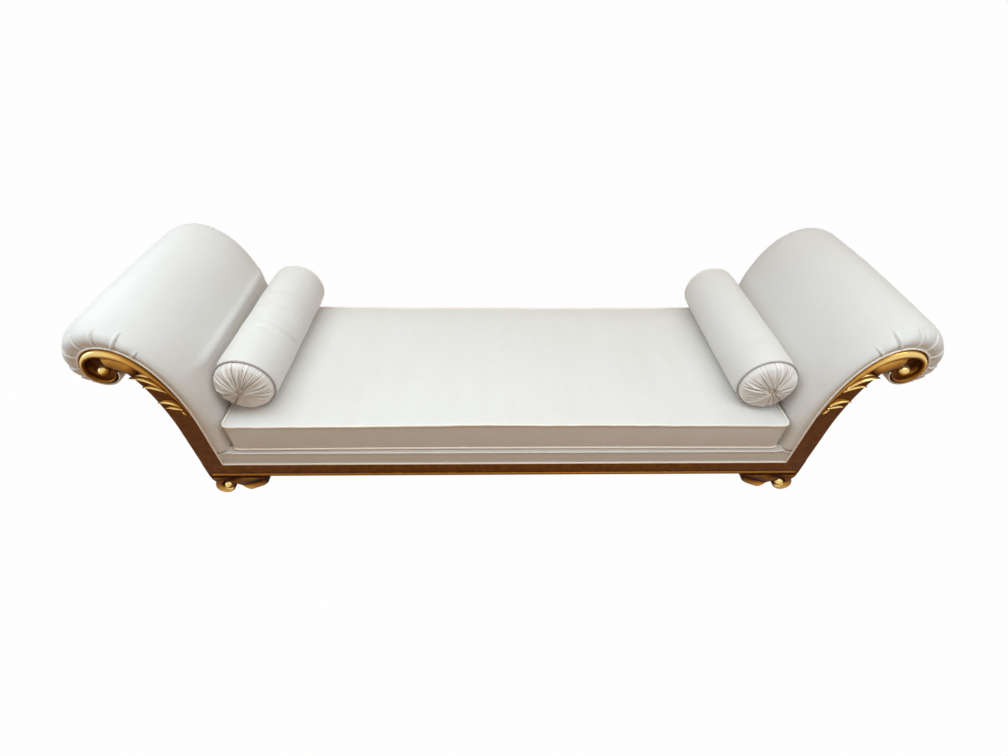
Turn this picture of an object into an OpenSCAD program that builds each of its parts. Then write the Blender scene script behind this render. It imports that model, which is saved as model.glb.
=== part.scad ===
// Recamier: a long backless settee with two out-scrolled arms, a gilded show-wood face on
// its front and back, a loose seat cushion and two loose bolsters.
// Millimetres. X runs along the seat, Y from front to back and Z up.
// The origin is on the floor, below the middle of the seat.

/* [Frame] */
// Distance from the cushion's end welts to the welts along the inner edges of the arms
arm_gap = 55; // [52:1:80]
// Distance of the frame's front and back faces beyond the cushion's welts
frame_lead = 9; // [8:1:30]
// Height of the underside of the frame above the floor
foot_h = 93; // [80:1:110]
// Height of the gilded show rails
rail_h = 69; // [56:1:80]
// Thickness of the gilded show rails
rail_t = 24; // [20:1:28]
// Radius of the bead along the bottom of the show rails
bead_r = 5; // [3:0.5:7]
// Height of the bead's middle above the show rail's bottom edge
bead_rise = 10; // [8:1:14]
// Thickness of the beech seat rails
seat_rail_t = 28; // [22:1:34]
// Height of the beech seat rails
seat_rail_h = 100; // [92:1:106]
// Thickness of the rails between the stiles
end_rail_t = 28; // [22:1:32]
// Height of the rails between the stiles
end_rail_h = 207; // [180:1:240]
// Width of each cross stretcher
stretcher_w = 40; // [30:1:60]
// Height of each cross stretcher
stretcher_h = 60; // [40:1:80]
// Leg of the triangular corner blocks
block_leg = 70; // [50:1:90]
// Height of the corner blocks
block_h = 60; // [40:1:80]
// Diameter of the frame screws
screw_d = 5; // [4:0.5:6]
// Length of the frame screws
screw_l = 48; // [42:1:56]

/* [Arms] */
// Height of the straight foot of each arm curve above the show rail
arm_straight = 178; // [150:1:200]
// Rise of the arm curve from its straight foot to the top of the scroll's welt
arm_rise = 330; // [300:1:360]
// Reach of the arm curve from its straight foot to the top of the scroll
arm_reach = 148; // [130:1:170]
// Width of the gilded stile at its foot
stile_w = 70; // [60:1:76]
// Thickness of the gilded stiles from front to back
stile_t = 40; // [34:1:48]
// Radius of the scroll's first quarter turn
scroll_r = 80; // [76:1:84]
// Radius of the scroll's second quarter turn
scroll_r2 = 48; // [44:1:50]
// Radius of the scroll's last turn
scroll_r3 = 46; // [42:1:48]
// Radius of the sunk face in the middle of the volute
sunk_r = 29; // [24:1:32]
// Depth of the sunk face in the middle of the volute
sunk_depth = 10; // [6:1:14]
// Radius of the ball in the eye of the volute
eye_r = 17; // [13:1:20]
// Width of the raised rim round the volute
rim_w = 22; // [14:1:26]
// Height of the volute's rim and the leaf's stem above the stile's face
rim_h = 4; // [2:0.5:6]
// Radius of the round top rail inside each scroll
top_rail_r = 42; // [36:1:43]
// Height of the carved leaf above the stile's face
leaf_relief = 8; // [5:0.5:10]

/* [Upholstery] */
// Radius of the welt piping along the show wood
welt_r = 4.5; // [3.5:0.5:5]
// Padding over the straight foot of the arms, measured from the welt
side_pad = 44; // [40:1:46]
// Padding where the scroll of the arms is fullest, measured from the welt
roll_pad = 64; // [60:1:68]
// Depth of the soft roll of padding along the front and back edges of the arms
edge_roll = 72; // [56:1:84]
// Rise of the arms' padding in the middle of their depth
arm_crown = 4; // [0:1:8]
// Thickness of the jute webbing
web_t = 2.5; // [2:0.5:3.5]
// Thickness of the outside arm panels
outside_t = 3; // [2:0.5:5]
// Thickness of the padded bands along the seat
band_t = 23; // [20:1:24]
// Height of the padded bands, up to the deck
band_h = 64; // [60:1:72]
// Thickness of the hessian over the springs
hessian_t = 1.5; // [1:0.5:2]
// Thickness of the deck cloth
deck_t = 2.2; // [1.5:0.1:3]
// Thickness of the dust cover
dust_t = 1.5; // [1:0.5:3]

/* [Springs] */
// Number of zigzag springs
spring_count = 14; // [8:1:16]
// Wire diameter of the zigzag springs
spring_wire = 4; // [3:0.5:4.5]
// Width across one zigzag spring
spring_w = 50; // [40:1:56]
// Number of runs in one zigzag spring
spring_runs = 24; // [16:2:28]
// Width of one spring clip
clip_w = 16; // [10:1:20]
// Thickness of the spring clips
clip_t = 1; // [0.8:0.1:1.4]
// Length of the legs of one spring clip
clip_leg = 12; // [8:1:13]

/* [Cushion] */
// Length of the seat cushion between its end welts
cushion_l = 1830; // [1550:5:2200]
// Depth of the seat cushion between its front and back welts
cushion_d = 662; // [620:1:760]
// Height of the seat cushion at its edge
cushion_h = 113; // [90:1:125]
// Rise of the cushion's crown above its top edge
crown = 14; // [6:1:20]
// Radius of the cushion's corners
cushion_corner = 12; // [8:1:30]
// Radius of the cushion's welts
cushion_welt_r = 4; // [3:0.5:4.5]
// Fullness of the cushion's sides beyond its welts
side_swell = 3; // [1:0.5:4]
// Length of the zip in the back of the cushion
zip_l = 1400; // [1000:10:1500]
// Height of the zip's opening
zip_h = 24; // [18:1:28]
// Length of the zip's slider
slider_l = 14; // [10:1:18]
// Thickness of the zip's tape
tape_t = 2; // [1:0.5:3]
// Height of the zip's teeth
teeth_h = 5; // [4:0.5:6]
// Thickness of the zip's teeth
teeth_t = 3; // [2:0.5:3]
// Thickness of the cushion's wrap round its foam core
core_wall = 36; // [30:1:50]
// Thickness of the cushion's wrap below its foam core
core_floor = 16; // [8:1:24]

/* [Bolsters] */
// Diameter of the bolsters
bolster_d = 196; // [170:1:197]
// Length of the bolsters between their end welts
bolster_l = 556; // [460:2:560]
// Distance of the bolsters' middles behind the middle of the seat
bolster_back = 32; // [0:1:34]
// Distance of the bolsters' middles inside the welts of the arms' inner edges
bolster_in = 138; // [137:1:180]
// Thickness of the bolsters' covers
bolster_cover_t = 5; // [4:0.5:7]
// Radius of the bolsters' end welts
bolster_welt_r = 4; // [3:0.5:5]
// Depth of the domed, pleated bolster ends
dome = 33; // [20:1:35]
// Number of pleats in each bolster end
pleats = 26; // [16:1:30]
// Depth of a pleat in the bolster ends
pleat_depth = 3; // [1.5:0.5:4]
// Radius of the covered buttons
button_r = 11; // [8:0.5:13]
// Height of the covered buttons
button_h = 8; // [6:0.5:10]

/* [Feet] */
// Thickness of the feet from front to back
foot_t = 60; // [48:1:70]
// Length of a foot along the show rail
foot_l = 199; // [170:1:220]
// Radius of a foot's scroll
foot_scroll_r = 33; // [28:1:36]
// Radius of the ball in a foot's scroll
foot_eye_r = 13; // [9:1:16]
// Drop of the leaf bracket below the frame
bracket_drop = 70; // [50:1:76]
// Diameter of the glides
glide_d = 26; // [20:1:30]
// Thickness of the glides
glide_t = 3; // [2:0.5:5]
// Diameter of the foot bolts
bolt_d = 8; // [6:1:10]
// Length of the foot bolts
bolt_l = 105; // [90:1:120]

/* [Hidden] */
// Clearance between pieces that lie against each other
fit = 0.3;
// Clearance round a screw or bolt
hole_fit = 0.2;
// Overrun of a cut past the face that it opens, and depth of an overlap inside one piece
cut = 1;
// Clearance round a covered button
button_fit = 1.5;
half_d = cushion_d / 2 + frame_lead;
arm_x = cushion_l / 2 + arm_gap;
rail_top = foot_h + rail_h;
edge = welt_r + fit;
inner_x = arm_x + edge;
outer_x = arm_x + stile_w;
seat_rail_top = foot_h + seat_rail_h;
deck_z = rail_top + band_h;
curve_z = rail_top + arm_straight;
top_x = arm_x + arm_reach;
top_z = curve_z + arm_rise;
end_rail_y = half_d - stile_t;
seat_rail_y = half_d - rail_t - seat_rail_t;
pad_y = half_d - rail_t;
layer_y = half_d - 2 * welt_r - 2 * fit;
straight_steps = 3;
curve_steps = 12;
turn_steps = 6;
tube_sides = 6;

// Points, directions and lists
function bezier(a, b, c, d, t) =
    pow(1 - t, 3) * a + 3 * pow(1 - t, 2) * t * b + 3 * (1 - t) * t * t * c + t * t * t * d;
function bezier_way(a, b, c, d, t) =
    pow(1 - t, 2) * (b - a) + 2 * (1 - t) * t * (c - b) + t * t * (d - c);
function left_of(v) = [-v[1], v[0]] / norm(v);
function right_of(v) = [v[1], -v[0]] / norm(v);
function backwards(list) = [for (i = [len(list) - 1:-1:0]) list[i]];
function part_of(list, first, last) = [for (i = [first:last]) list[i]];
function mix(a, b, share) = a + (b - a) * share;

// A station is a point of an arm's edge in X and Z, its normal and the padding there.
// The inner edge of the arm: a straight foot, one curve outwards and the turns of the scroll.
rise_shares = [0.61, 0.61];
curve_start = [arm_x, curve_z];
curve_end = [top_x, top_z];
pull_start = [arm_x, curve_z + arm_rise * rise_shares[0]];
pull_end = [top_x - arm_reach * rise_shares[1], top_z];
turn_1 = [top_x, top_z - scroll_r];
turn_2 = turn_1 + [scroll_r - scroll_r2, 0];
turn_3 = turn_2 + [0, scroll_r3 - scroll_r2];
// The padding along the arm, as shares of its fullest: 0 to 1 runs up the curve, then each
// whole number is a quarter turn of the scroll.
pad_shares = [[0, side_pad / roll_pad], [0.3, 0.56], [0.55, 0.51], [0.75, 0.55], [0.9, 0.7],
    [1, 0.86], [1.25, 0.96], [1.45, 1], [1.7, 0.96], [2, 0.86], [2.25, 0.68], [2.5, 0.44],
    [2.75, 0.24], [3, 0.14], [4, 0.13]];
function pad_at(turn) = roll_pad * lookup(turn, pad_shares);
function straight_stations(low, high, steps) =
    [for (i = [0:steps - 1]) [[arm_x, mix(low, high, i / steps)], [-1, 0], side_pad]];
function turn_stations(turn, centre, r) =
    [for (i = [0:turn_steps - 1]) let (share = i / turn_steps, a = 90 * (2 - turn - share))
        [centre + r * [cos(a), sin(a)], [cos(a), sin(a)], pad_at(turn + share)]];
curve_stations = [for (i = [0:curve_steps - 1]) let (t = i / curve_steps)
    [bezier(curve_start, pull_start, pull_end, curve_end, t),
     left_of(bezier_way(curve_start, pull_start, pull_end, curve_end, t)),
     pad_at(t)]];
scroll_stations = concat(turn_stations(1, turn_1, scroll_r), turn_stations(2, turn_2, scroll_r2),
                         turn_stations(3, turn_3, scroll_r3));
arm_stations = concat(straight_stations(deck_z + fit, curve_z, straight_steps), curve_stations,
                      scroll_stations);
welt_stations = concat(straight_stations(rail_top, curve_z, straight_steps), curve_stations,
                       scroll_stations);
// The cloth of the arm ends part of the way round the underside of the scroll.
cover_end = len(arm_stations) - 2;
foam_end = len(arm_stations) - turn_steps;

// The outer edge of the stile, from the floor of the frame to the notch below the volute
notch = turn_3 + [-scroll_r3 - edge, edge];
outer_pull_shares = [0.2, 0.25, 0.84];
outer_pull_start = [outer_x, curve_z + arm_rise * outer_pull_shares[0]];
outer_pull_end = [mix(outer_x, notch[0], outer_pull_shares[1]),
                  mix(curve_z, notch[1], outer_pull_shares[2])];
outer_stations = concat([[[outer_x, foot_h], [1, 0], 0]],
    [for (i = [0:curve_steps]) let (t = i / curve_steps)
        [bezier([outer_x, curve_z], outer_pull_start, outer_pull_end, notch, t),
         right_of(bezier_way([outer_x, curve_z], outer_pull_start, outer_pull_end, notch, t)),
         0]]);

function offset_points(stations, d) = [for (s = stations) s[0] + d * s[1]];
function padded_points(stations, share, lift) =
    [for (s = stations) s[0] + (s[2] * share + lift) * s[1]];

// Placing
module along_y(from, to) {
    translate([0, to, 0]) rotate([90, 0, 0]) linear_extrude(height = to - from) children();
}
module along_x(from, to) {
    translate([from, 0, 0]) rotate([90, 0, 90]) linear_extrude(height = to - from) children();
}
module on_left() {
    mirror([1, 0, 0]) children();
}
module on_back() {
    mirror([0, 1, 0]) children();
}
module on_all_corners() {
    for (x = [0, 1], y = [0, 1]) mirror([x, 0, 0]) mirror([0, y, 0]) children();
}
module box(low, high) {
    translate(low) cube(high - low);
}

// A tube round a flat path of stations in the X and Z plane, at one Y
function tube_ring(s, y, r) = [for (k = [0:tube_sides - 1]) let (a = 360 * k / tube_sides)
    [s[0][0] + r * cos(a) * s[1][0], y + r * sin(a), s[0][1] + r * cos(a) * s[1][1]]];
function strip_faces(rings, count) = [for (i = [0:rings - 2], k = [0:count - 1], half = [0, 1])
    let (a = i * count + k, b = i * count + (k + 1) % count)
        half == 0 ? [a, b, b + count] : [a, b + count, a + count]];
module ring_body(rings) {
    count = len(rings[0]);
    last = (len(rings) - 1) * count;
    polyhedron([for (r = rings) for (p = r) p],
        concat(strip_faces(len(rings), count),
               [for (k = [1:count - 2]) [0, k + 1, k]],
               [for (k = [1:count - 2]) [last, last + k, last + k + 1]]));
}

// Show wood
module show_rail() {
    color("#8a5a1c") {
        along_y(-half_d, -half_d + rail_t)
            polygon([[-outer_x, foot_h], [outer_x, foot_h], [inner_x, rail_top - edge],
                     [-inner_x, rail_top - edge]]);
        bead_x = mix(outer_x, inner_x, (bead_rise + 2 * bead_r) / (rail_h - edge));
        along_x(-bead_x, bead_x)
            translate([-half_d + bead_r / 4, foot_h + bead_rise]) circle(r = bead_r, $fn = 32);
    }
}
module stile() {
    color("#b5832a") difference() {
        union() {
            along_y(-half_d, -half_d + stile_t)
                polygon(concat([[inner_x, rail_top - edge]], offset_points(welt_stations, -edge),
                               backwards(offset_points(outer_stations, 0))));
            along_y(-half_d - rim_h, -half_d + cut)
                polygon(concat(offset_points(scroll_stations, -edge),
                               backwards(offset_points(scroll_stations, -edge - rim_w))));
            eye();
        }
        translate([turn_2[0], -half_d - rim_h - cut, turn_2[1]]) rotate([-90, 0, 0])
            difference() {
                cylinder(r = sunk_r, h = rim_h + sunk_depth + cut, $fn = 48);
                translate([0, 0, -cut])
                    cylinder(r = eye_r + fit, h = rim_h + sunk_depth + 3 * cut, $fn = 48);
            }
    }
}
// The outline of the volute's eye, as shares of its radius
eye_shares = [[0, 0], [1, 0], [0.94, 0.3], [0.75, 0.56], [0.4, 0.72], [0, 0.77]];
module eye() {
    translate([turn_2[0], -half_d + cut, turn_2[1]]) rotate([90, 0, 0]) rotate_extrude($fn = 48)
        polygon(eye_r * eye_shares);
}
// A carved leaf: a stem that runs down from the volute's rim beside the welt, and leaflets that
// spring from it and sweep up to tips at or past the stile's outer edge.
// Each place is a share of the way up the arm's curve and a share of the stile's width there.
stem_top_shares = [[0.14, 0.09], [0.3, 0.07], [0.45, 0.07], [0.6, 0.07], [0.8, 0.07], [1, 0.07]];
stem_low_shares = [[0.16, 0.16], [0.3, 0.24], [0.45, 0.29], [0.6, 0.4], [0.8, 0.44], [1, 0.34]];
// Each leaflet has a root, the middle of its back, a tip, the middle of its belly and its height.
leaflet_shares = [
    [[0.5, 0.22], [0.57, 0.24], [0.73, 0.68], [0.6, 0.45], 0.7],
    [[0.37, 0.2], [0.52, 0.3], [0.88, 1.1], [0.57, 0.56], 1],
    [[0.34, 0.18], [0.46, 0.34], [0.67, 0.97], [0.46, 0.55], 0.85],
    [[0.2, 0.15], [0.3, 0.33], [0.45, 0.97], [0.3, 0.55], 1],
    [[0.18, 0.16], [0.25, 0.38], [0.33, 0.8], [0.24, 0.56], 0.8],
    [[0.13, 0.15], [0.16, 0.12], [0.19, 0.3], [0.15, 0.36], 0.6]];
leaflet_steps = 6;
function stile_at(s) = mix(
    bezier(curve_start, pull_start, pull_end, curve_end, s[0]),
    bezier([outer_x, curve_z], outer_pull_start, outer_pull_end, notch, s[0]), s[1]);
function arc_through(a, m, b, t) = let (pull = 2 * m - (a + b) / 2)
    pow(1 - t, 2) * a + 2 * t * (1 - t) * pull + t * t * b;
module leaf() {
    color("#d9a441") {
        along_y(-half_d - rim_h, -half_d)
            polygon([for (s = concat(stem_top_shares, backwards(stem_low_shares))) stile_at(s)]);
        for (s = leaflet_shares) leaflet(stile_at(s[0]), stile_at(s[1]), stile_at(s[2]),
                                         stile_at(s[3]), leaf_relief * s[4]);
    }
}
module leaflet(root, back, tip, belly, relief) {
    along_y(-half_d - relief, -half_d)
        polygon(concat(
            [for (i = [0:leaflet_steps]) arc_through(root, back, tip, i / leaflet_steps)],
            [for (i = [1:leaflet_steps - 1]) arc_through(tip, belly, root, i / leaflet_steps)]));
}

// Feet: a round scroll under the corner and a leaf bracket along the rail
scroll_x = outer_x - foot_scroll_r;
scroll_z = glide_t + foot_scroll_r;
// Pull points of the bracket's two curves, as shares of its length and drop
bracket_shares = [[0, 0.12], [0.02, 0.9], [0.3, 0.92], [0.6, 1], [0.75, 1], [0.8, 0.55],
    [0.95, 0.45]];
// Points of the neck above the scroll, as shares of the scroll's radius from its middle
neck_shares = [[-0.8, 0.6], [0.6, 0.8]];
foot_steps = 6;
function bracket_at(i) = [outer_x - foot_l + bracket_shares[i][0] * (foot_l - 2 * foot_scroll_r),
                          foot_h - bracket_shares[i][1] * bracket_drop];
function bracket_curve(i, from) = [for (step = [from:foot_steps])
    bezier(bracket_at(i), bracket_at(i + 1), bracket_at(i + 2), bracket_at(i + 3),
           step / foot_steps)];
module foot_outline() {
    translate([scroll_x, scroll_z]) circle(r = foot_scroll_r, $fn = 48);
    polygon(concat([[outer_x - foot_l, foot_h]], bracket_curve(0, 0), bracket_curve(3, 1),
        [for (s = neck_shares) [scroll_x, scroll_z] + foot_scroll_r * s],
        [[outer_x - fit, foot_h]]));
}
module foot() {
    color("#c8922f") difference() {
        union() {
            along_y(-half_d, -half_d + foot_t) foot_outline();
            translate([scroll_x, -half_d, scroll_z])
                intersection() {
                    sphere(r = foot_eye_r, $fn = 48);
                    translate([-foot_eye_r, -foot_eye_r, -foot_eye_r])
                        cube([2 * foot_eye_r, foot_eye_r + cut, 2 * foot_eye_r]);
                }
        }
        bolt_holes();
    }
}
module foot_glides() {
    color("#3a3a3c") on_all_corners()
        translate([scroll_x, -half_d + foot_t / 2, 0])
            cylinder(d = glide_d, h = glide_t, $fn = 40);
}

// Bolts from the feet into the rails, and screws through the corner blocks
bolt_low = foot_h / 2;
module bolt_places() {
    translate([inner_x + end_rail_t / 2, -end_rail_y + bolt_d + fit, 0]) children();
    translate([inner_x - block_leg, -seat_rail_y - seat_rail_t / 2, 0]) children();
}
module bolt_holes() {
    bolt_places() translate([0, 0, bolt_low - fit])
        cylinder(d = bolt_d + 2 * hole_fit, h = bolt_l + 2 * fit, $fn = 32);
}
module foot_bolts() {
    color("#8d8f92") on_all_corners() bolt_places() translate([0, 0, bolt_low])
        cylinder(d = bolt_d, h = bolt_l, $fn = 32);
}
block_low = foot_h + (seat_rail_h - block_h) / 2;
module screw_places() {
    depth = block_leg / 2;
    translate([inner_x - depth, -seat_rail_y + depth - fit, block_low + block_h / 3])
        rotate([90, 0, 0]) children();
    translate([inner_x - depth + fit, -seat_rail_y + depth, block_low + block_h * 2 / 3])
        rotate([0, 90, 0]) children();
}
module screw_holes() {
    screw_places() translate([0, 0, -cut])
        cylinder(d = screw_d + 2 * hole_fit, h = screw_l + cut + fit, $fn = 32);
}
module frame_screws() {
    color("#a8a9ad") on_all_corners() screw_places() cylinder(d = screw_d, h = screw_l, $fn = 32);
}

// Beech frame
module seat_rail() {
    color("#c9a678") difference() {
        box([-inner_x, -half_d + rail_t, foot_h], [inner_x, -seat_rail_y, seat_rail_top]);
        for (x = [0, 1]) mirror([x, 0, 0]) {
            bolt_holes();
            screw_holes();
        }
    }
}
module end_rail() {
    color("#c9a678") difference() {
        box([inner_x, -end_rail_y, foot_h],
            [inner_x + end_rail_t, end_rail_y, foot_h + end_rail_h]);
        for (y = [0, 1]) mirror([0, y, 0]) {
            bolt_holes();
            screw_holes();
        }
    }
}
module stretcher() {
    x = inner_x / 3;
    color("#c9a678") box([x - stretcher_w / 2, -seat_rail_y, foot_h],
                         [x + stretcher_w / 2, seat_rail_y, foot_h + stretcher_h]);
}
module corner_blocks() {
    color("#d4b384") on_all_corners() difference() {
        translate([0, 0, block_low]) linear_extrude(height = block_h)
            polygon([[inner_x, -seat_rail_y], [inner_x, -seat_rail_y + block_leg],
                     [inner_x - block_leg, -seat_rail_y]]);
        screw_holes();
    }
}

// Springs, clips and the layers of the seat
spring_low = seat_rail_top + clip_t + fit;
spring_end_y = half_d - rail_t - seat_rail_t / 2;
spring_step_x = 2 * (arm_x - side_pad - spring_w) / (spring_count - 1);
hessian_low = spring_low + spring_wire + clip_t + 2 * fit;
pad_low = hessian_low + hessian_t;
pad_high = deck_z - deck_t;
function turn_normal(p, i) = let (
    a = i == 0 ? left_of(p[1] - p[0]) : left_of(p[i] - p[i - 1]),
    b = i == len(p) - 1 ? a : left_of(p[i + 1] - p[i]))
    (a + b) / (1 + a * b);
function beside(p, d) = [for (i = [0:len(p) - 1]) p[i] + d * turn_normal(p, i)];
module zigzag_springs() {
    a = (spring_w - spring_wire) / 2;
    run = 2 * spring_end_y / spring_runs;
    path = [for (i = [0:spring_runs], side = [-1, 1])
        [(i % 2 == 0 ? side : -side) * a, -spring_end_y + i * run]];
    color("#5f6062") for (i = [0:spring_count - 1])
        translate([(i - (spring_count - 1) / 2) * spring_step_x, 0, spring_low])
            linear_extrude(height = spring_wire)
                polygon(concat(beside(path, spring_wire / 2),
                               backwards(beside(path, -spring_wire / 2))));
}
module spring_clips() {
    back = -spring_end_y - spring_wire / 2 - fit;
    low = seat_rail_top;
    high = spring_low + spring_wire + clip_t + fit;
    color("#8d8f92") for (i = [0:spring_count - 1], y = [0, 1]) mirror([0, y, 0])
        translate([(i - (spring_count - 1) / 2) * spring_step_x, 0, 0])
            along_x(-clip_w / 2, clip_w / 2)
                polygon([[back - clip_t, low], [back + clip_leg, low],
                         [back + clip_leg, low + clip_t], [back, low + clip_t],
                         [back, high - clip_t], [back + clip_leg, high - clip_t],
                         [back + clip_leg, high], [back - clip_t, high]]);
}
module seat_hessian() {
    color("#b59a6b") box([-arm_x, -pad_y, hessian_low], [arm_x, pad_y, pad_low]);
}
module seat_pad() {
    color("#efe6cf") box([-arm_x, -pad_y, pad_low], [arm_x, pad_y, pad_high]);
}
module seat_deck() {
    color("#ddd6ca") box([-arm_x, -pad_y, pad_high], [arm_x, pad_y, deck_z]);
}
module dust_cover() {
    long_x = outer_x - foot_l - cut;
    end_x = inner_x + end_rail_t;
    near_y = half_d - foot_t - cut;
    color("#2b2b2d") translate([0, 0, foot_h - dust_t]) linear_extrude(height = dust_t)
        polygon([[-long_x, -pad_y], [long_x, -pad_y], [long_x, -near_y], [end_x, -near_y],
                 [end_x, near_y], [long_x, near_y], [long_x, pad_y], [-long_x, pad_y],
                 [-long_x, near_y], [-end_x, near_y], [-end_x, -near_y], [-long_x, -near_y]]);
}

// The padded band between the show rail and the cushion
band_shares = [[0.14, 0], [0, 0.07], [-0.02, 0.45], [0.03, 0.84], [0.24, 0.96], [0.55, 1]];
module band() {
    low = rail_top + edge;
    high = deck_z;
    front = -pad_y - band_t;
    color("#e9e2d8") along_x(-arm_x + edge, arm_x - edge)
        polygon(concat([for (s = band_shares) [front + s[0] * band_t, mix(low, high, s[1])]],
                       [[-pad_y, high], [-pad_y, low]]));
}

// The welt along the show rail and both stiles, as one cord
module show_welt() {
    corner = [[arm_x, rail_top], [-1, 1], 0];
    half = concat([corner], part_of(welt_stations, 1, len(welt_stations) - 1));
    other = [for (s = backwards(half)) [[-s[0][0], s[0][1]], [-s[1][0], s[1][1]], s[2]]];
    color("#f0dcc8")
        ring_body([for (s = concat(other, half)) tube_ring(s, -half_d + welt_r, welt_r)]);
}

// Arms: a round top rail, webbing from stile to stile, foam, a pleated cover and an outer panel
module arm_layer(first, last, low_share, low, high_share, high, y) {
    run = part_of(arm_stations, first, last);
    along_y(-y, y) polygon(concat(padded_points(run, low_share, low),
                                  backwards(padded_points(run, high_share, high))));
}
module arm_top_rail() {
    color("#c9a678") along_y(-end_rail_y, end_rail_y)
        translate(turn_2) circle(r = top_rail_r, $fn = 64);
}
foam_share = 0.48;
web_steps = 3;
module arm_webbing() {
    color("#c2ab84") for (x = [0, 1], i = [0:web_steps:foam_end - web_steps]) mirror([x, 0, 0])
        arm_layer(i, i + web_steps - 1, 0, -edge, 0, -edge + web_t, layer_y);
}
module arm_foam() {
    color("#f3e3b0") arm_layer(0, foam_end, 0, -edge + web_t, foam_share, 0, layer_y);
}
// Each row gives a point of the cover's section: its share of the padding, then its distance
// in from the face as a share of the soft roll along the edge.
roll_shares = [[0, 0.07], [0.25, -0.03], [0.48, 0.02], [0.7, 0.16], [0.88, 0.42], [0.97, 0.72],
    [1, 1]];
// The cover's inner side: its share of the foam, then 1 where it follows the soft roll
lining_shares = [[0, 0], [0.5, 0], [1, 0], [1, 1], [1, 1], [1, 1], [1, 1]];
roll_last = len(roll_shares) - 1;
// Shallow pleats gather the cover round the scroll
pleat_first = straight_steps + curve_steps / 2;
pleat_every = 2;
pleat_share = 0.07;
function cover_section(s, i) = let (
    pad = s[2] - edge,
    tuck = i > pleat_first && i % pleat_every == 0 ? pleat_share : 0,
    lining = s[2] * foam_share + fit - edge,
    face = [for (k = [0:roll_last]) let (fold = k > 0 && k < roll_last ? tuck : 0)
        [edge + pad * roll_shares[k][0] * (1 - fold),
         half_d - edge_roll * (roll_shares[k][1] + fold)]],
    under = [for (k = [0:roll_last])
        [edge + lining * lining_shares[k][0],
         lining_shares[k][1] == 0 ? layer_y + fit : half_d - edge_roll * roll_shares[k][1] - fit]])
    concat([for (p = face) [p[0], -p[1]]], [[s[2] + arm_crown * s[2] / roll_pad, 0]],
           backwards(face), under, [[edge + lining, 0]], [for (p = backwards(under)) [p[0], -p[1]]]);
module arm_cover() {
    stations = part_of(arm_stations, 0, cover_end);
    rings = [for (i = [0:cover_end]) let (s = stations[i]) [for (p = cover_section(s, i))
        [s[0][0] + p[0] * s[1][0], p[1], s[0][1] + p[0] * s[1][1]]]];
    count = len(rings[0]);
    half = count / 2;
    last = cover_end * count;
    color("#f4f0e9") polyhedron([for (r = rings) for (p = r) p],
        concat(strip_faces(len(rings), count),
               [for (base = [0, last], k = [0:half - 2], side = [0, 1]) let (
                   a = base + k,
                   b = base + k + 1,
                   c = base + count - 1 - k,
                   d = base + count - 2 - k,
                   face = side == 0 ? [a, c, b] : [b, c, d])
                   base == 0 ? face : backwards(face)]));
}
module outside_arm() {
    run = part_of(outer_stations, 0, curve_steps);
    color("#e4ddd2") along_y(-end_rail_y, end_rail_y)
        polygon(concat(offset_points(run, -outside_t),
                       backwards(offset_points(run, -2 * outside_t))));
}

// Seat cushion
side_points = 14;
end_points = 6;
corner_points = 4;
cushion_low = deck_z + fit;
cushion_high = cushion_low + cushion_h;
low_welt_z = cushion_low + cushion_welt_r + fit;
// Each row gives a ring of the crown: its inset as a share of half the depth, and its height
crown_shares = [[0, 0], [0.04, 0.12], [0.12, 0.25], [0.27, 0.42], [0.48, 0.7], [0.72, 0.92],
    [0.9, 1]];
// Each row gives a ring of the swelling sides: its share of the fullness, and of the height
swell_shares = [[0.6, 0.16], [1, 0.5], [0.6, 0.84]];
function side_run(a, b, steps, bow) = [for (i = [0:steps - 1]) let (share = (i + 0.5) / steps)
    mix(a, b, share) + left_of(b - a) * bow * sin(180 * share)];
// A closed loop round the cushion, set in from the line of its welts, with drawn-in sides.
// It starts in the middle of a corner, so that its flat ends fan out from a true corner.
function cushion_loop(inset, bow) = let (
    r = max(cushion_corner - inset, cushion_corner / 3),
    x = cushion_l / 2 - inset - r,
    y = cushion_d / 2 - inset - r,
    ends = [[-x, y + r], [-x - r, -y], [x, -y - r], [x + r, y]],
    centres = [[x, y], [-x, y], [-x, -y], [x, -y]],
    loop = [for (q = [0:3]) each concat(
        [for (i = [0:corner_points]) let (a = 90 * (q + i / corner_points))
            centres[q] + r * [cos(a), sin(a)]],
        side_run(centres[q] + r * [cos(90 * q + 90), sin(90 * q + 90)], ends[q],
                 q % 2 == 0 ? side_points : end_points, bow))])
    [for (i = [0:len(loop) - 1]) loop[(i + corner_points / 2) % len(loop)]];
function at_height(loop, z) = [for (p = loop) [p[0], p[1], z]];
// The foam core and the slot that lets it in behind the zip
zip_z = (cushion_low + cushion_high) / 2;
tape_y = cushion_d / 2 - tape_t - 2 * teeth_t;
module core_box(gap) {
    box([-cushion_l / 2 + core_wall + gap, -cushion_d / 2 + core_wall + gap,
         cushion_low + core_floor + gap],
        [cushion_l / 2 - core_wall - gap, cushion_d / 2 - core_wall - gap, cushion_high - gap]);
}
module cushion_cover() {
    inset = cushion_welt_r + 2 * fit;
    rings = concat(
        [at_height(cushion_loop(core_wall, 0), cushion_low),
         at_height(cushion_loop(2 * inset, side_swell), cushion_low),
         at_height(cushion_loop(inset, side_swell), low_welt_z)],
        [for (s = swell_shares) at_height(cushion_loop(-side_swell * s[0], side_swell),
                                          mix(low_welt_z, cushion_high, s[1]))],
        [for (s = crown_shares)
            at_height(cushion_loop(max(inset, s[0] * cushion_d / 2),
                                   side_swell * max(0, 1 - 2 * s[0])),
                      cushion_high + crown * s[1])]);
    color("#f5f1ea") difference() {
        ring_body(backwards(rings));
        core_box(0);
        box([-zip_l / 2, 0, zip_z - zip_h / 2],
            [zip_l / 2, cushion_d / 2 + side_swell + cut, zip_z + zip_h / 2]);
    }
}
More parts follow.
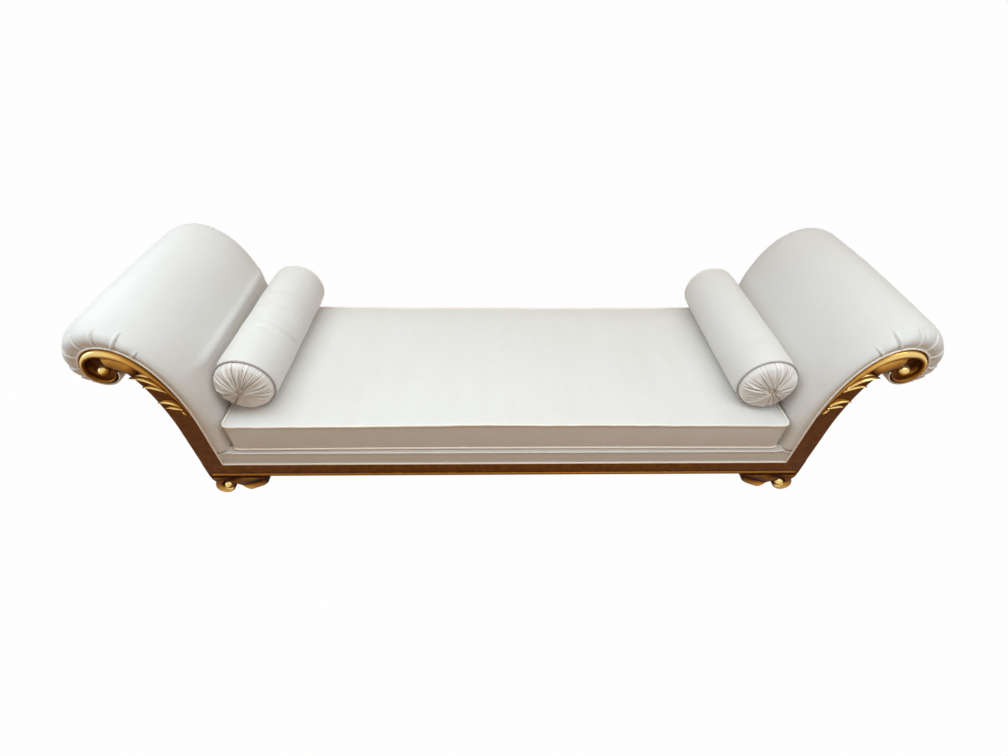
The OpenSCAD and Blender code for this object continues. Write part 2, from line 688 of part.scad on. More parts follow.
module cushion_core() {
    color("#f3e3b0") core_box(fit);
}
module loop_welt(z) {
    loop = cushion_loop(0, side_swell);
    count = len(loop);
    points = [for (i = [0:count - 1]) let (
        way = left_of(loop[(i + 1) % count] - loop[(i + count - 1) % count]))
        each [for (k = [0:tube_sides - 1]) let (a = 360 * k / tube_sides)
            [loop[i][0] - cushion_welt_r * cos(a) * way[0],
             loop[i][1] - cushion_welt_r * cos(a) * way[1],
             z + cushion_welt_r * sin(a)]]];
    total = len(points);
    color("#f0dcc8") polyhedron(points,
        [for (f = strip_faces(count + 1, tube_sides)) [for (v = f) v % total]]);
}
module cushion_zip() {
    color("#e6dccb") {
        box([-zip_l / 2 + fit, tape_y, zip_z - zip_h / 2 + fit],
            [zip_l / 2 - fit, tape_y + tape_t, zip_z + zip_h / 2 - fit]);
        box([-zip_l / 2 + slider_l / 4, tape_y + tape_t - fit, zip_z - teeth_h / 2],
            [zip_l / 2 - slider_l / 4, tape_y + tape_t + teeth_t, zip_z + teeth_h / 2]);
    }
}
tab_shares = [0.3, 0.7];
module zip_slider() {
    end_x = zip_l / 2 - slider_l / 4;
    low_y = tape_y + tape_t + fit;
    high_y = tape_y + tape_t + 2 * teeth_t;
    tab_low_x = end_x - slider_l * tab_shares[1];
    tab_high_x = end_x - slider_l * tab_shares[0];
    tab_y = cushion_d / 2 + side_swell + 2 * fit;
    color("#c9b58a") {
        difference() {
            box([end_x - slider_l, low_y, zip_z - teeth_h], [end_x, high_y, zip_z + teeth_h]);
            box([end_x - slider_l - cut, low_y - cut, zip_z - teeth_h / 2 - fit],
                [end_x + cut, tape_y + tape_t + teeth_t + fit, zip_z + teeth_h / 2 + fit]);
        }
        box([tab_low_x, high_y - fit, zip_z - teeth_h], [tab_high_x, tab_y + tape_t, zip_z]);
        box([tab_low_x, tab_y, zip_z - 3 * teeth_h], [tab_high_x, tab_y + tape_t, zip_z]);
    }
}

// Bolsters: a sewn cover with a gathered, domed end on each side of a filled core
bolster_r = bolster_d / 2;
bolster_x = arm_x - bolster_in;
bolster_z = cushion_high + 2 * fit + bolster_r
    + crown * lookup((cushion_l / 2 - bolster_x) / (cushion_d / 2), crown_shares);
rim_share = 2.1;
rim_r = bolster_r - rim_share * bolster_welt_r;
// The rounded shoulder beside a bolster's end welt, as shares of the welt's radius in and back
shoulder_shares = [[0.75, 1.9], [0, 2.5]];
module at_bolster() {
    translate([bolster_x, bolster_back, bolster_z]) rotate([90, 0, 0]) children();
}
module at_bolster_ends() {
    at_bolster() for (end = [0, 1]) mirror([0, 0, end]) translate([0, 0, bolster_l / 2]) children();
}
module bolster_turned(points) {
    at_bolster() rotate_extrude($fn = 72)
        polygon(concat(points, backwards([for (p = points) [p[0], -p[1]]])));
}
module bolster_cover() {
    end = bolster_l / 2;
    inner_r = bolster_r - bolster_cover_t;
    color("#f5f1ea") bolster_turned(concat(
        [[inner_r, end - 4 * bolster_welt_r], [rim_r - bolster_cover_t, end - 2 * bolster_welt_r],
         [rim_r - bolster_cover_t, end], [rim_r, end], [rim_r, end - bolster_welt_r / 2]],
        [for (s = shoulder_shares) [bolster_r, end] - bolster_welt_r * s]));
}
module bolster_core() {
    end = bolster_l / 2;
    inner_r = bolster_r - bolster_cover_t - fit;
    color("#fbf7ee") bolster_turned([
        [0, end - fit], [rim_r - bolster_cover_t - fit, end - fit],
        [rim_r - bolster_cover_t - fit, end - 2 * bolster_welt_r - fit],
        [inner_r, end - 4 * bolster_welt_r - fit]]);
}
// Each row gives a ring of a gathered end: its radius, height and depth of pleat, as shares
end_shares = [[1, 0, 0], [0.985, 0.25, 0.3], [0.9, 0.58, 1], [0.7, 0.88, 1], [0.45, 1, 1],
    [0.28, 0.96, 0.7]];
button_seat_share = 0.86;
module bolster_ends() {
    spokes = 2 * pleats;
    rows = concat(end_shares, [[(button_r + button_fit) / rim_r, button_seat_share, 0]]);
    rings = [for (row = rows) [for (k = [0:spokes - 1]) let (
        a = 360 * k / spokes,
        r = rim_r * row[0])
        [r * cos(a), r * sin(a), dome * row[1] - (k % 2) * row[2] * pleat_depth * row[0]]]];
    color("#f5f1ea") at_bolster_ends() ring_body(backwards(rings));
}
module bolster_welts() {
    color("#f0dcc8") at_bolster_ends() rotate_extrude($fn = 72)
        translate([bolster_r - bolster_welt_r, 0]) circle(r = bolster_welt_r, $fn = 24);
}
// The outline of a covered button, as shares of its radius and height
button_shares = [[0, 0], [0.9, 0], [1, 0.25], [0.85, 0.62], [0.5, 0.9], [0, 1]];
module bolster_buttons() {
    color("#efe9df") at_bolster_ends() translate([0, 0, dome * button_seat_share + fit])
        rotate_extrude($fn = 40) polygon([for (s = button_shares) [button_r * s[0], button_h * s[1]]]);
}

show_rail();  // front_show_rail
on_back() show_rail();  // back_show_rail
on_left() stile();  // front_left_stile
stile();  // front_right_stile
on_left() on_back() stile();  // back_left_stile
on_back() stile();  // back_right_stile
on_left() leaf();  // front_left_leaf
leaf();  // front_right_leaf
on_left() on_back() leaf();  // back_left_leaf
on_back() leaf();  // back_right_leaf
on_left() foot();  // front_left_foot
foot();  // front_right_foot
on_left() on_back() foot();  // back_left_foot
on_back() foot();  // back_right_foot
foot_glides();
foot_bolts();
seat_rail();  // front_seat_rail
on_back() seat_rail();  // back_seat_rail
on_left() end_rail();  // left_end_rail
end_rail();  // right_end_rail
on_left() stretcher();  // left_stretcher
stretcher();  // right_stretcher
corner_blocks();
frame_screws();
zigzag_springs();
spring_clips();
seat_hessian();
seat_pad();
seat_deck();
dust_cover();
band();  // front_band
on_back() band();  // back_band
show_welt();  // front_welt
on_back() show_welt();  // back_welt
on_left() arm_top_rail();  // left_arm_top_rail
arm_top_rail();  // right_arm_top_rail
arm_webbing();
on_left() arm_foam();  // left_arm_foam
arm_foam();  // right_arm_foam
on_left() arm_cover();  // left_arm_cover
arm_cover();  // right_arm_cover
on_left() outside_arm();  // left_outside_arm
outside_arm();  // right_outside_arm
cushion_cover();
cushion_core();
loop_welt(cushion_high);  // cushion_top_welt
loop_welt(low_welt_z);  // cushion_bottom_welt
cushion_zip();
zip_slider();
on_left() bolster_cover();  // left_bolster_cover
bolster_cover();  // right_bolster_cover
on_left() bolster_core();  // left_bolster_core
bolster_core();  // right_bolster_core
on_left() bolster_ends();  // left_bolster_ends
bolster_ends();  // right_bolster_ends
on_left() bolster_welts();  // left_bolster_welts
bolster_welts();  // right_bolster_welts
on_left() bolster_buttons();  // left_bolster_buttons
bolster_buttons();  // right_bolster_buttons
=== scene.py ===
"""Looks of a recamier: a long settee with two scrolled arms, a gilded face, a loose cushion and bolsters.

Everything is in metres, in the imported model's frame: X along the seat, Y from front to back, Z up.
"""
import random
from math import atan2, copysign, cos, degrees, dist, pi, radians, sin, sqrt

import bmesh
import bpy
import numpy as np
from mathutils import Matrix, Vector, noise
from mathutils.geometry import delaunay_2d_cdt


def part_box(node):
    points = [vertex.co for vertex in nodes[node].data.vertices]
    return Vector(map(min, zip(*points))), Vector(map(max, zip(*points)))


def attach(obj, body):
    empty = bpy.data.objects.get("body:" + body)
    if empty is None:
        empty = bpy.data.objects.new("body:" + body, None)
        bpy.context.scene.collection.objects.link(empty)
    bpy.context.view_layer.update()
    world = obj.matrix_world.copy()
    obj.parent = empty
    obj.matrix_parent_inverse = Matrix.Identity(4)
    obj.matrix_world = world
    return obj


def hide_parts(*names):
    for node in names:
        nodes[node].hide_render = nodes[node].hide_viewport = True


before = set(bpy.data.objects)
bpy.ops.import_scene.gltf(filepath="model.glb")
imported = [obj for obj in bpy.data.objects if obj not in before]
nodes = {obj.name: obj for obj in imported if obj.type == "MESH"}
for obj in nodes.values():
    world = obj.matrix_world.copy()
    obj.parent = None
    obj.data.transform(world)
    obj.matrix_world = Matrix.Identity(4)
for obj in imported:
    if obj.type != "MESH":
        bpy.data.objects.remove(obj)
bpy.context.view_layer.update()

# Camera, fitted to the photograph
CAMERA_PLACE = Vector((-0.0538, -1.3808, 1.5214))
CAMERA_PITCH = radians(42.707)
CAMERA_YAW = radians(1.8165)
CAMERA_ROLL = radians(1.2075)
CAMERA_LENS = 17.5

# Sizes that the solids give
STILE_T = 0.040
WELT_R = 0.0045
EDGE = 0.0048
HALF_D = STILE_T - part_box("front_left_stile")[1].y
ARM_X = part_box("seat_deck")[1].x
DECK_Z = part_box("seat_deck")[1].z
OUTER_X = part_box("front_show_rail")[1].x
FOOT_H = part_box("front_show_rail")[0].z
RAIL_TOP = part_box("front_show_rail")[1].z + EDGE

# The arm's curve: a straight foot, one curve and the quarter turns of the scroll
ARM_STRAIGHT = 0.178
ARM_RISE = 0.330
ARM_REACH = 0.148
CURVE_PULL = 0.61
SCROLL_RADII = (0.080, 0.048, 0.046)
ROLL_PAD = 0.064
EDGE_ROLL = 0.072
ARM_CROWN = 0.004
# The cover's padding at each s, as a share of ROLL_PAD
PAD_TABLE = [(-1, 0.6875), (0, 0.6875), (0.3, 0.57), (0.55, 0.51), (0.75, 0.55), (0.9, 0.7),
             (1, 0.86), (1.25, 0.96), (1.45, 1), (1.7, 0.96), (2, 0.85), (2.25, 0.62),
             (2.5, 0.35), (2.75, 0.17), (3, 0.10), (4, 0.085)]
# The cover's front roll: share of the padding, and how far behind the welt as a share of EDGE_ROLL
ROLL_TABLE = [(-0.03, -0.007), (0.1, -0.017), (0.27, -0.03), (0.48, 0.02), (0.7, 0.16), (0.88, 0.42),
              (0.97, 0.72), (1, 1)]
COVER_END = 3.93
WELT_END = 3.97


# Curves through numbers

def smooth_lookup(x, table):
    """A smooth curve through a table of (x, value) rows."""
    xs, values = zip(*table)
    if x <= xs[0]:
        return values[0]
    if x >= xs[-1]:
        return values[-1]
    i = max(k for k in range(len(xs) - 1) if xs[k] <= x)

    def slope(k):
        low, high = max(k - 1, 0), min(k + 1, len(xs) - 1)
        return (values[high] - values[low]) / (xs[high] - xs[low])

    width = xs[i + 1] - xs[i]
    t = (x - xs[i]) / width
    return ((2 * t ** 3 - 3 * t ** 2 + 1) * values[i] + (t ** 3 - 2 * t ** 2 + t) * width * slope(i)
            + (3 * t ** 2 - 2 * t ** 3) * values[i + 1] + (t ** 3 - t ** 2) * width * slope(i + 1))


def smooth_line(points, steps):
    """A smooth line through points, with steps places between each two of them."""
    rows = list(enumerate(points))
    tables = [[(i, p[axis]) for i, p in rows] for axis in range(len(points[0]))]
    count = (len(points) - 1) * steps
    return [tuple(smooth_lookup(k / steps, t) for t in tables) for k in range(count + 1)]


def mix(a, b, share):
    return a + (b - a) * share


def smooth_step(x, low, high):
    t = np.clip((x - low) / (high - low), 0, 1)
    return t * t * (3 - 2 * t)


def bell(x, middle, width):
    """1 at the middle, and falling smoothly to nothing within a few widths on both sides."""
    return np.exp(-((x - middle) / width) ** 2)


def noise_at(x, y, z):
    return noise.noise(Vector((x, y, z)))


def bezier(a, b, c, d, t):
    return (1 - t) ** 3 * a + 3 * (1 - t) ** 2 * t * b + 3 * (1 - t) * t * t * c + t ** 3 * d


def bezier_way(a, b, c, d, t):
    return (1 - t) ** 2 * (b - a) + 2 * (1 - t) * t * (c - b) + t * t * (d - c)


def unit(v):
    return v / np.linalg.norm(v)


# The arm's curve and the stile's outline, in X and Z, for the arm on the +X side

CURVE_Z = RAIL_TOP + ARM_STRAIGHT
TOP = np.array([ARM_X + ARM_REACH, CURVE_Z + ARM_RISE])
CURVE = [np.array([ARM_X, CURVE_Z]), np.array([ARM_X, CURVE_Z + ARM_RISE * CURVE_PULL]),
         np.array([TOP[0] - ARM_REACH * CURVE_PULL, TOP[1]]), TOP]
TURN_1 = TOP - np.array([0, SCROLL_RADII[0]])
TURN_2 = TURN_1 + np.array([SCROLL_RADII[0] - SCROLL_RADII[1], 0])
TURN_3 = TURN_2 + np.array([0, SCROLL_RADII[2] - SCROLL_RADII[1]])
TURN_CENTRES = (TURN_1, TURN_2, TURN_3)


def arm_path(s):
    """Point and outward normal of the arm's welted edge: 0 to 1 is the curve, then each whole
    number is a quarter turn of the scroll, and -1 to 0 is the straight foot."""
    if s < 0:
        return CURVE[0] + np.array([0, s * ARM_STRAIGHT]), np.array([-1.0, 0.0])
    if s < 1:
        way = unit(bezier_way(*CURVE, s))
        return bezier(*CURVE, s), np.array([-way[1], way[0]])
    turn = min(int(s) - 1, 2)
    angle = radians(90 * (2 - s))
    normal = np.array([cos(angle), sin(angle)])
    return TURN_CENTRES[turn] + SCROLL_RADII[turn] * normal, normal


def padding(s):
    return ROLL_PAD * smooth_lookup(s, PAD_TABLE)


def padded_line(places, share):
    """The arm's curve at some values of s, lifted by a share of its padding."""
    return [arm_path(s)[0] + arm_path(s)[1] * padding(s) * share for s in places]


def lengths_along(points):
    """How far along a line each of its points lies."""
    return np.concatenate([[0], np.cumsum([np.linalg.norm(b - a) for a, b in zip(points, points[1:])])])


def even_stations(first, last, spacing, share=0.5):
    """Values of s at even distances along the arm's curve, lifted by a share of its padding."""
    fine = np.linspace(first, last, 900)
    lengths = lengths_along(padded_line(fine, share))
    count = int(lengths[-1] / spacing)
    return list(np.interp(np.linspace(0, lengths[-1], count + 1), lengths, fine))


NOTCH = TURN_3 + np.array([-SCROLL_RADII[2] - EDGE, EDGE])
OUTER_CURVE = [np.array([OUTER_X, CURVE_Z]), np.array([OUTER_X, CURVE_Z + ARM_RISE * 0.2]),
               np.array([mix(OUTER_X, NOTCH[0], 0.25), mix(CURVE_Z, NOTCH[1], 0.84)]), NOTCH]


def stile_at(t, share):
    """A place on the stile's face: a share of the way up the curve and of the stile's width."""
    return mix(bezier(*CURVE, t), bezier(*OUTER_CURVE, t), share)


# Meshes

def shown(name, data):
    """An object in the scene for a mesh, a light or a camera."""
    obj = bpy.data.objects.new(name, data)
    bpy.context.scene.collection.objects.link(obj)
    return obj


def set_attribute(mesh, name, values):
    """A number on each point of a mesh, which a material can read."""
    layer = mesh.attributes.new(name, "FLOAT", "POINT")
    layer.data.foreach_set("value", np.asarray(values, np.float32))


def make_piece(name, shape, body, look, node=None, folds=None):
    """A smooth closed piece with all faces outwards. It rides on a body, takes the given material,
    may stand for a CAD node, and may hold the shade painted in its folds."""
    mesh = bpy.data.meshes.new(name)
    mesh.from_pydata([tuple(float(c) for c in v) for v in shape[0]], [], [tuple(f) for f in shape[1]])
    mesh.validate()
    mesh.materials.append(look)
    mesh.polygons.foreach_set("use_smooth", [True] * len(mesh.polygons))
    work = bmesh.new()
    work.from_mesh(mesh)
    bmesh.ops.recalc_face_normals(work, faces=work.faces)
    work.to_mesh(mesh)
    work.free()
    obj = shown(name, mesh)
    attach(obj, body)
    if node:
        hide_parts(node)
    if folds is not None:
        set_attribute(mesh, "fold", folds)
    return obj


def circle(steps):
    return [2 * pi * k / steps for k in range(steps)]


def ring_about(middle, radius, y, steps):
    """A ring round a line along Y through a place in X and Z; y is one number or one for each step."""
    ys = y if isinstance(y, np.ndarray) else [y] * steps
    return [(middle[0] + radius * cos(a), at, middle[1] + radius * sin(a))
            for a, at in zip(circle(steps), ys)]


def ring_faces(rings, count, closed=False):
    """Faces of a skin over rings of count points each, end to end or as a closed loop."""
    last = rings if closed else rings - 1
    return [(i * count + k, i * count + (k + 1) % count,
             (i + 1) % rings * count + (k + 1) % count, (i + 1) % rings * count + k)
            for i in range(last) for k in range(count)]


def loft(rings, closed=False):
    """A closed solid over rings of points; an open run of rings gets a cap at each end."""
    count = len(rings[0])
    verts = [p for ring in rings for p in ring]
    faces = ring_faces(len(rings), count, closed)
    if not closed:
        faces.append(tuple(reversed(range(count))))
        faces.append(tuple(range((len(rings) - 1) * count, len(rings) * count)))
    return verts, faces


def joined(shells):
    """Several solids as one list of points and one of faces."""
    verts, faces = [], []
    for v, f in shells:
        base = len(verts)
        verts += list(v)
        faces += [tuple(i + base for i in face) for face in f]
    return verts, faces


def turned_over(shape, x=1, y=1):
    """The solid mirrored in X, in Y or in both, with its faces still facing outwards."""
    flipped = [(p[0] * x, p[1] * y, p[2]) for p in shape[0]]
    return flipped, [tuple(reversed(f)) for f in shape[1]] if x * y < 0 else shape[1]


def tube(points, radius, side, sides=12, closed=False):
    """A round cord along points in space, with its first side towards the given way."""
    count = len(points)
    points = [Vector(p) for p in points]
    across = Vector(side)
    rings = []
    for i, p in enumerate(points):
        before = points[(i - 1) % count] if closed or i > 0 else p
        after = points[(i + 1) % count] if closed or i < count - 1 else p
        way = (after - before).normalized()
        across = (across - way * across.dot(way)).normalized()
        up = way.cross(across)
        rings.append([p + radius * (cos(a) * across + sin(a) * up) for a in circle(sides)])
    return loft(rings, closed)


def ball(middle, radius, front, steps=32):
    """A half ball that stands out to the front, as (points, faces)."""
    tilts = [radians(-20) + radians(110) * i / 10 for i in range(10)]
    rings = [ring_about(middle, radius * cos(a), front - radius * sin(a), steps) for a in tilts]
    verts = [p for ring in rings for p in ring] + [(middle[0], front - radius, middle[1])]
    last, top = (len(rings) - 1) * steps, len(verts) - 1
    faces = ring_faces(len(rings), steps)
    faces += [(last + k, last + (k + 1) % steps, top) for k in range(steps)]
    return verts, faces + [tuple(reversed(range(steps)))]


def thinned(points, least):
    """A closed outline without the points that lie closer than least to the one before."""
    kept = [points[0]]
    for p in points[1:]:
        if np.linalg.norm(p - kept[-1]) > least:
            kept.append(p)
    if np.linalg.norm(kept[-1] - kept[0]) < least:
        kept.pop()
    return kept


def inside(points, outline):
    """Which of the points lie inside a closed outline."""
    x, z = points[:, 0:1], points[:, 1:2]
    a, b = outline, np.roll(outline, -1, axis=0)
    crosses = (a[:, 1] > z) != (b[:, 1] > z)
    rise = np.where(b[:, 1] == a[:, 1], 1e-12, b[:, 1] - a[:, 1])
    at = a[:, 0] + (z - a[:, 1]) / rise * (b[:, 0] - a[:, 0])
    return (crosses & (x < at)).sum(1) % 2 == 1


def distances(points, line):
    """Distance of each point from a list of places, and which place is nearest."""
    found = [np.sqrt(((line - p) ** 2).sum(1)) for p in points]
    return np.array([f.min() for f in found]), np.array([f.argmin() for f in found])


def board(outline, height, thickness, spacing):
    """A carved board: its outline in X and Z, with its front face raised by a height function."""
    outline = np.array(outline)
    low, high = outline.min(0), outline.max(0)
    xs = np.arange(low[0], high[0], spacing)
    zs = np.arange(low[1], high[1], spacing * 0.866)
    grid = np.array([(x + (spacing / 2 if j % 2 else 0), z) for j, z in enumerate(zs) for x in xs])
    grid = grid[inside(grid, outline)]
    grid = grid[distances(grid, outline)[0] > spacing * 0.6]
    points = np.vstack([outline, grid])
    count = len(outline)
    found = delaunay_2d_cdt([Vector(p) for p in points], [], [list(range(count))], 1, 1e-7)
    front_points = np.array([(v.x, v.y) for v in found[0]])
    raised = height(front_points)
    verts = [(p[0], -HALF_D - h, p[1]) for p, h in zip(front_points, raised)]
    faces = [tuple(f) for f in found[2]]
    rim = [int(np.argmin(((front_points - p) ** 2).sum(1))) for p in outline]
    base = len(verts)
    verts += [(p[0], thickness - HALF_D, p[1]) for p in outline]
    faces += [(rim[i], base + i, base + (i + 1) % count, rim[(i + 1) % count]) for i in range(count)]
    flat = delaunay_2d_cdt([Vector(p) for p in outline], [], [list(range(count))], 1, 1e-7)
    where = [int(np.argmin(((outline - np.array((v.x, v.y))) ** 2).sum(1))) for v in flat[0]]
    faces += [tuple(base + where[i] for i in f) for f in flat[2]]
    return verts, faces, list(raised) + [0.0] * count


# Materials

def node_tree(name):
    material = bpy.data.materials.new(name)
    material.use_nodes = True
    return material, material.node_tree, material.node_tree.nodes["Principled BSDF"]


def feed(tree, made, values):
    """Sets or links a node's inputs, by name or number."""
    for key, value in values.items():
        if isinstance(value, bpy.types.NodeSocket):
            tree.links.new(value, made.inputs[key])
        else:
            made.inputs[key].default_value = value


def add(tree, kind, values=None, **settings):
    """A node with its settings and its inputs."""
    made = tree.nodes.new(kind)
    for key, value in settings.items():
        setattr(made, key, value)
    feed(tree, made, values or {})
    return made


def stretched(tree, scale):
    """The object's own coordinates, scaled along each axis."""
    place = add(tree, "ShaderNodeTexCoord").outputs["Object"]
    return add(tree, "ShaderNodeMapping", {"Vector": place, "Scale": scale}).outputs["Vector"]


def noise_value(tree, scale, detail=3.0, roughness=0.5):
    values = {"Vector": stretched(tree, scale), "Scale": 1.0, "Detail": detail, "Roughness": roughness}
    return add(tree, "ShaderNodeTexNoise", values).outputs["Fac"]


def number_on(tree, name):
    """The number of that name on the mesh's points."""
    return add(tree, "ShaderNodeAttribute", attribute_name=name).outputs["Fac"]


def calc(tree, operation, a, b, clamp=False):
    made = add(tree, "ShaderNodeMath", {0: a, 1: b}, operation=operation, use_clamp=clamp)
    return made.outputs[0]


def total(tree, *terms):
    """The sum of some values, each times its own number."""
    result = None
    for value, share in terms:
        term = calc(tree, "MULTIPLY", value, share)
        result = term if result is None else calc(tree, "ADD", result, term)
    return result


def colour_between(tree, share, low, high, blend="MIX"):
    """A mix of two colours, each three numbers or a socket."""
    low, high = [(*c, 1) if isinstance(c, tuple) else c for c in (low, high)]
    made = add(tree, "ShaderNodeMix", {0: share, 6: low, 7: high}, data_type="RGBA", blend_type=blend)
    return made.outputs[2]


def weave_height(tree, period):
    """A plain weave of the given thread spacing, as the sum of waves along the three axes."""
    values = {"Scale": 2 * pi / (20 * period), "Distortion": 0.6, "Detail": 1.0}
    x, y, z = [add(tree, "ShaderNodeTexWave", {"Vector": stretched(tree, (1, 1, 1)), **values},
                   wave_type="BANDS", bands_direction=axis).outputs["Fac"] for axis in "XYZ"]
    return calc(tree, "ADD", calc(tree, "ADD", x, y), z)


def bumped(tree, height, distance, strength):
    values = {"Height": height, "Distance": distance, "Strength": strength}
    return add(tree, "ShaderNodeBump", values).outputs["Normal"]


# The colour of the shade painted into folds, creases, grooves and gathers
FOLD_SHADE_COLOUR = (0.46, 0.37, 0.29)


def silk(name, low, high, slub_scale, period=0.0008, sheen=0.2, cloud_scale=(4.2, 4.2, 4.2)):
    """Silk satin: a fine weave with long faint slubs and a soft sheen, with painted shade towards the fold
    shade colour where the mesh's fold number is high."""
    material, tree, shader = node_tree(name)
    slub = noise_value(tree, slub_scale, 4.0, 0.55)
    cloud = noise_value(tree, cloud_scale)
    mottle = noise_value(tree, (60, 60, 60))
    share = total(tree, (slub, 0.3), (cloud, 0.5), (mottle, 0.3))
    share = calc(tree, "MULTIPLY", calc(tree, "SUBTRACT", share, 0.25), 1.6, clamp=True)
    cloth = colour_between(tree, share, low, high)
    height = total(tree, (weave_height(tree, period), 0.25), (slub, 0.45), (mottle, 0.8))
    feed(tree, shader, {"Base Color": colour_between(tree, number_on(tree, "fold"), cloth, FOLD_SHADE_COLOUR),
                        "Roughness": 0.42, "Specular IOR Level": 0.22, "Sheen Weight": sheen,
                        "Sheen Roughness": 0.35, "Normal": bumped(tree, height, 0.00035, 0.5)})
    return material


# Colours of the gilding from its dark bole up to its brightest gold; the top stops give the painted
# highlights
GILT_STOPS = [(0.0, (0.05, 0.013, 0.002)), (0.2, (0.19, 0.064, 0.008)),
              (0.5, (0.46, 0.20, 0.030)), (0.8, (0.78, 0.43, 0.085)), (1.0, (0.98, 0.72, 0.29))]


def gilt_and_painted_light(name):
    """Antique gilding over a dark bole: bright where the mesh's number for gilt and painted light is high,
    which holds painted highlights and shade as well as the gilding's level.
    """
    material, tree, shader = node_tree(name)
    patina = noise_value(tree, (38, 38, 38), 6.0, 0.65)
    streak = noise_value(tree, (160, 160, 40))
    worn = calc(tree, "MULTIPLY", calc(tree, "SUBTRACT", patina, 0.5), 0.3)
    share = calc(tree, "ADD", number_on(tree, "gilt_and_painted_light"), worn, clamp=True)
    ramp = add(tree, "ShaderNodeValToRGB", {0: share})
    stops = ramp.color_ramp.elements
    for place, _ in GILT_STOPS[1:-1]:
        stops.new(place)
    for stop, (_, colour) in zip(stops, GILT_STOPS):
        stop.color = (*colour, 1)
    shade = colour_between(tree, streak, (0.88, 0.84, 0.78), (1.0, 1.0, 1.0))
    feed(tree, shader, {"Base Color": colour_between(tree, 1.0, ramp.outputs[0], shade, "MULTIPLY"),
                        "Metallic": calc(tree, "ADD", calc(tree, "MULTIPLY", share, 0.6), 0.1),
                        "Roughness": calc(tree, "SUBTRACT", 0.34, calc(tree, "MULTIPLY", share, 0.14)),
                        "Specular IOR Level": 0.02,
                        "Normal": bumped(tree, calc(tree, "ADD", patina, streak), 0.0006, 0.35)})
    return material


def grained(name, low, high, grain, detail, rough, distance, strength, roughness=0.5, period=None):
    """A colour that varies with a grain, and a bump from that grain or from a weave."""
    material, tree, shader = node_tree(name)
    height = marks = noise_value(tree, grain, detail, roughness)
    if period:
        height = weave_height(tree, period)
    feed(tree, shader, {"Base Color": colour_between(tree, marks, low, high), "Roughness": rough,
                        "Normal": bumped(tree, height, distance, strength)})
    return material


def timber(name, grain):
    """Sawn beech with its grain along the axis whose scale is low."""
    return grained(name, (0.42, 0.26, 0.14), (0.63, 0.45, 0.28), grain, 5.0, 0.62, 0.0008, 0.4, 0.6)


def coarse_cloth(name, low, high, period, distance):
    """Hessian, webbing, decking or felt: a plain weave that shows."""
    return grained(name, low, high, (120, 120, 120), 3.0, 0.9, distance, 0.6, period=period)


def metal(name, low, high, rough):
    material, tree, shader = node_tree(name)
    marks = noise_value(tree, (300, 300, 60), 4.0)
    feed(tree, shader, {"Base Color": colour_between(tree, marks, low, high), "Metallic": 1.0,
                        "Roughness": calc(tree, "ADD", calc(tree, "MULTIPLY", marks, 0.2), rough)})
    return material


IVORY_LOW, IVORY_HIGH = (0.79, 0.765, 0.73), (0.86, 0.845, 0.82)
silk_along = silk("silk_along", IVORY_LOW, IVORY_HIGH, (5, 190, 190), cloud_scale=(13, 2.4, 6))
silk_across = silk("silk_across", IVORY_LOW, IVORY_HIGH, (190, 5, 190))
# A lighter copy of the ivory silk, as painted light, for the gathered ends and the buttons
silk_ends_painted_light = silk("silk_ends_painted_light", (0.92, 0.89, 0.85), (0.98, 0.96, 0.93), (120, 120, 120), sheen=0.35)
# The piping: the ivory silk made lighter and warmer, as painted light and a painted warm reflection from
# the gilding
piping = silk("piping", (0.97, 0.88, 0.78), (1.0, 0.94, 0.86), (260, 260, 260), 0.0012, 0.6)
# A grey-mauve copy of the piping for the bolsters' front welts: painted shade for the shadow line along
# them
shadow_line_piping = silk("shadow_line_piping", (0.50, 0.45, 0.45), (0.62, 0.57, 0.56), (260, 260, 260), 0.0012)
gilding = gilt_and_painted_light("gilding")
beech = timber("beech", (3, 60, 60))
beech_across = timber("beech_across", (60, 3, 60))
jute = coarse_cloth("jute", (0.33, 0.23, 0.12), (0.55, 0.42, 0.25), 0.003, 0.0012)
decking = coarse_cloth("decking", (0.66, 0.62, 0.56), (0.76, 0.72, 0.66), 0.0012, 0.0005)
felt = coarse_cloth("felt", (0.72, 0.67, 0.56), (0.85, 0.8, 0.7), 0.004, 0.001)
dust_cloth = coarse_cloth("dust_cloth", (0.015, 0.015, 0.016), (0.04, 0.04, 0.042), 0.0015, 0.0004)
foam = coarse_cloth("foam", (0.72, 0.6, 0.34), (0.85, 0.74, 0.48), 0.002, 0.0008)
steel = metal("steel", (0.32, 0.32, 0.33), (0.55, 0.55, 0.56), 0.3)
brass = metal("brass", (0.5, 0.36, 0.14), (0.68, 0.52, 0.25), 0.28)
glide_nylon = grained("glide_nylon", (0.02, 0.02, 0.022), (0.05, 0.05, 0.052), (400, 400, 400), 2.0,
                      0.5, 0.0002, 0.4)

CAD_LOOKS = [
    (glide_nylon, "foot_glides"),
    (steel, "foot_bolts frame_screws zigzag_springs spring_clips"),
    (beech, "front_seat_rail back_seat_rail corner_blocks"),
    (beech_across, "left_end_rail right_end_rail left_stretcher right_stretcher"),
    (beech_across, "left_arm_top_rail right_arm_top_rail"),
    (jute, "seat_hessian arm_webbing"),
    (felt, "seat_pad left_bolster_core right_bolster_core"),
    (decking, "seat_deck cushion_zip"),
    (dust_cloth, "dust_cover"),
    (foam, "left_arm_foam right_arm_foam cushion_core"),
    (silk_across, "left_outside_arm right_outside_arm"),
    (brass, "zip_slider")]
for cad_look, cad_names in CAD_LOOKS:
    for cad_name in cad_names.split():
        nodes[cad_name].data.materials.clear()
        nodes[cad_name].data.materials.append(cad_look)


# Show wood

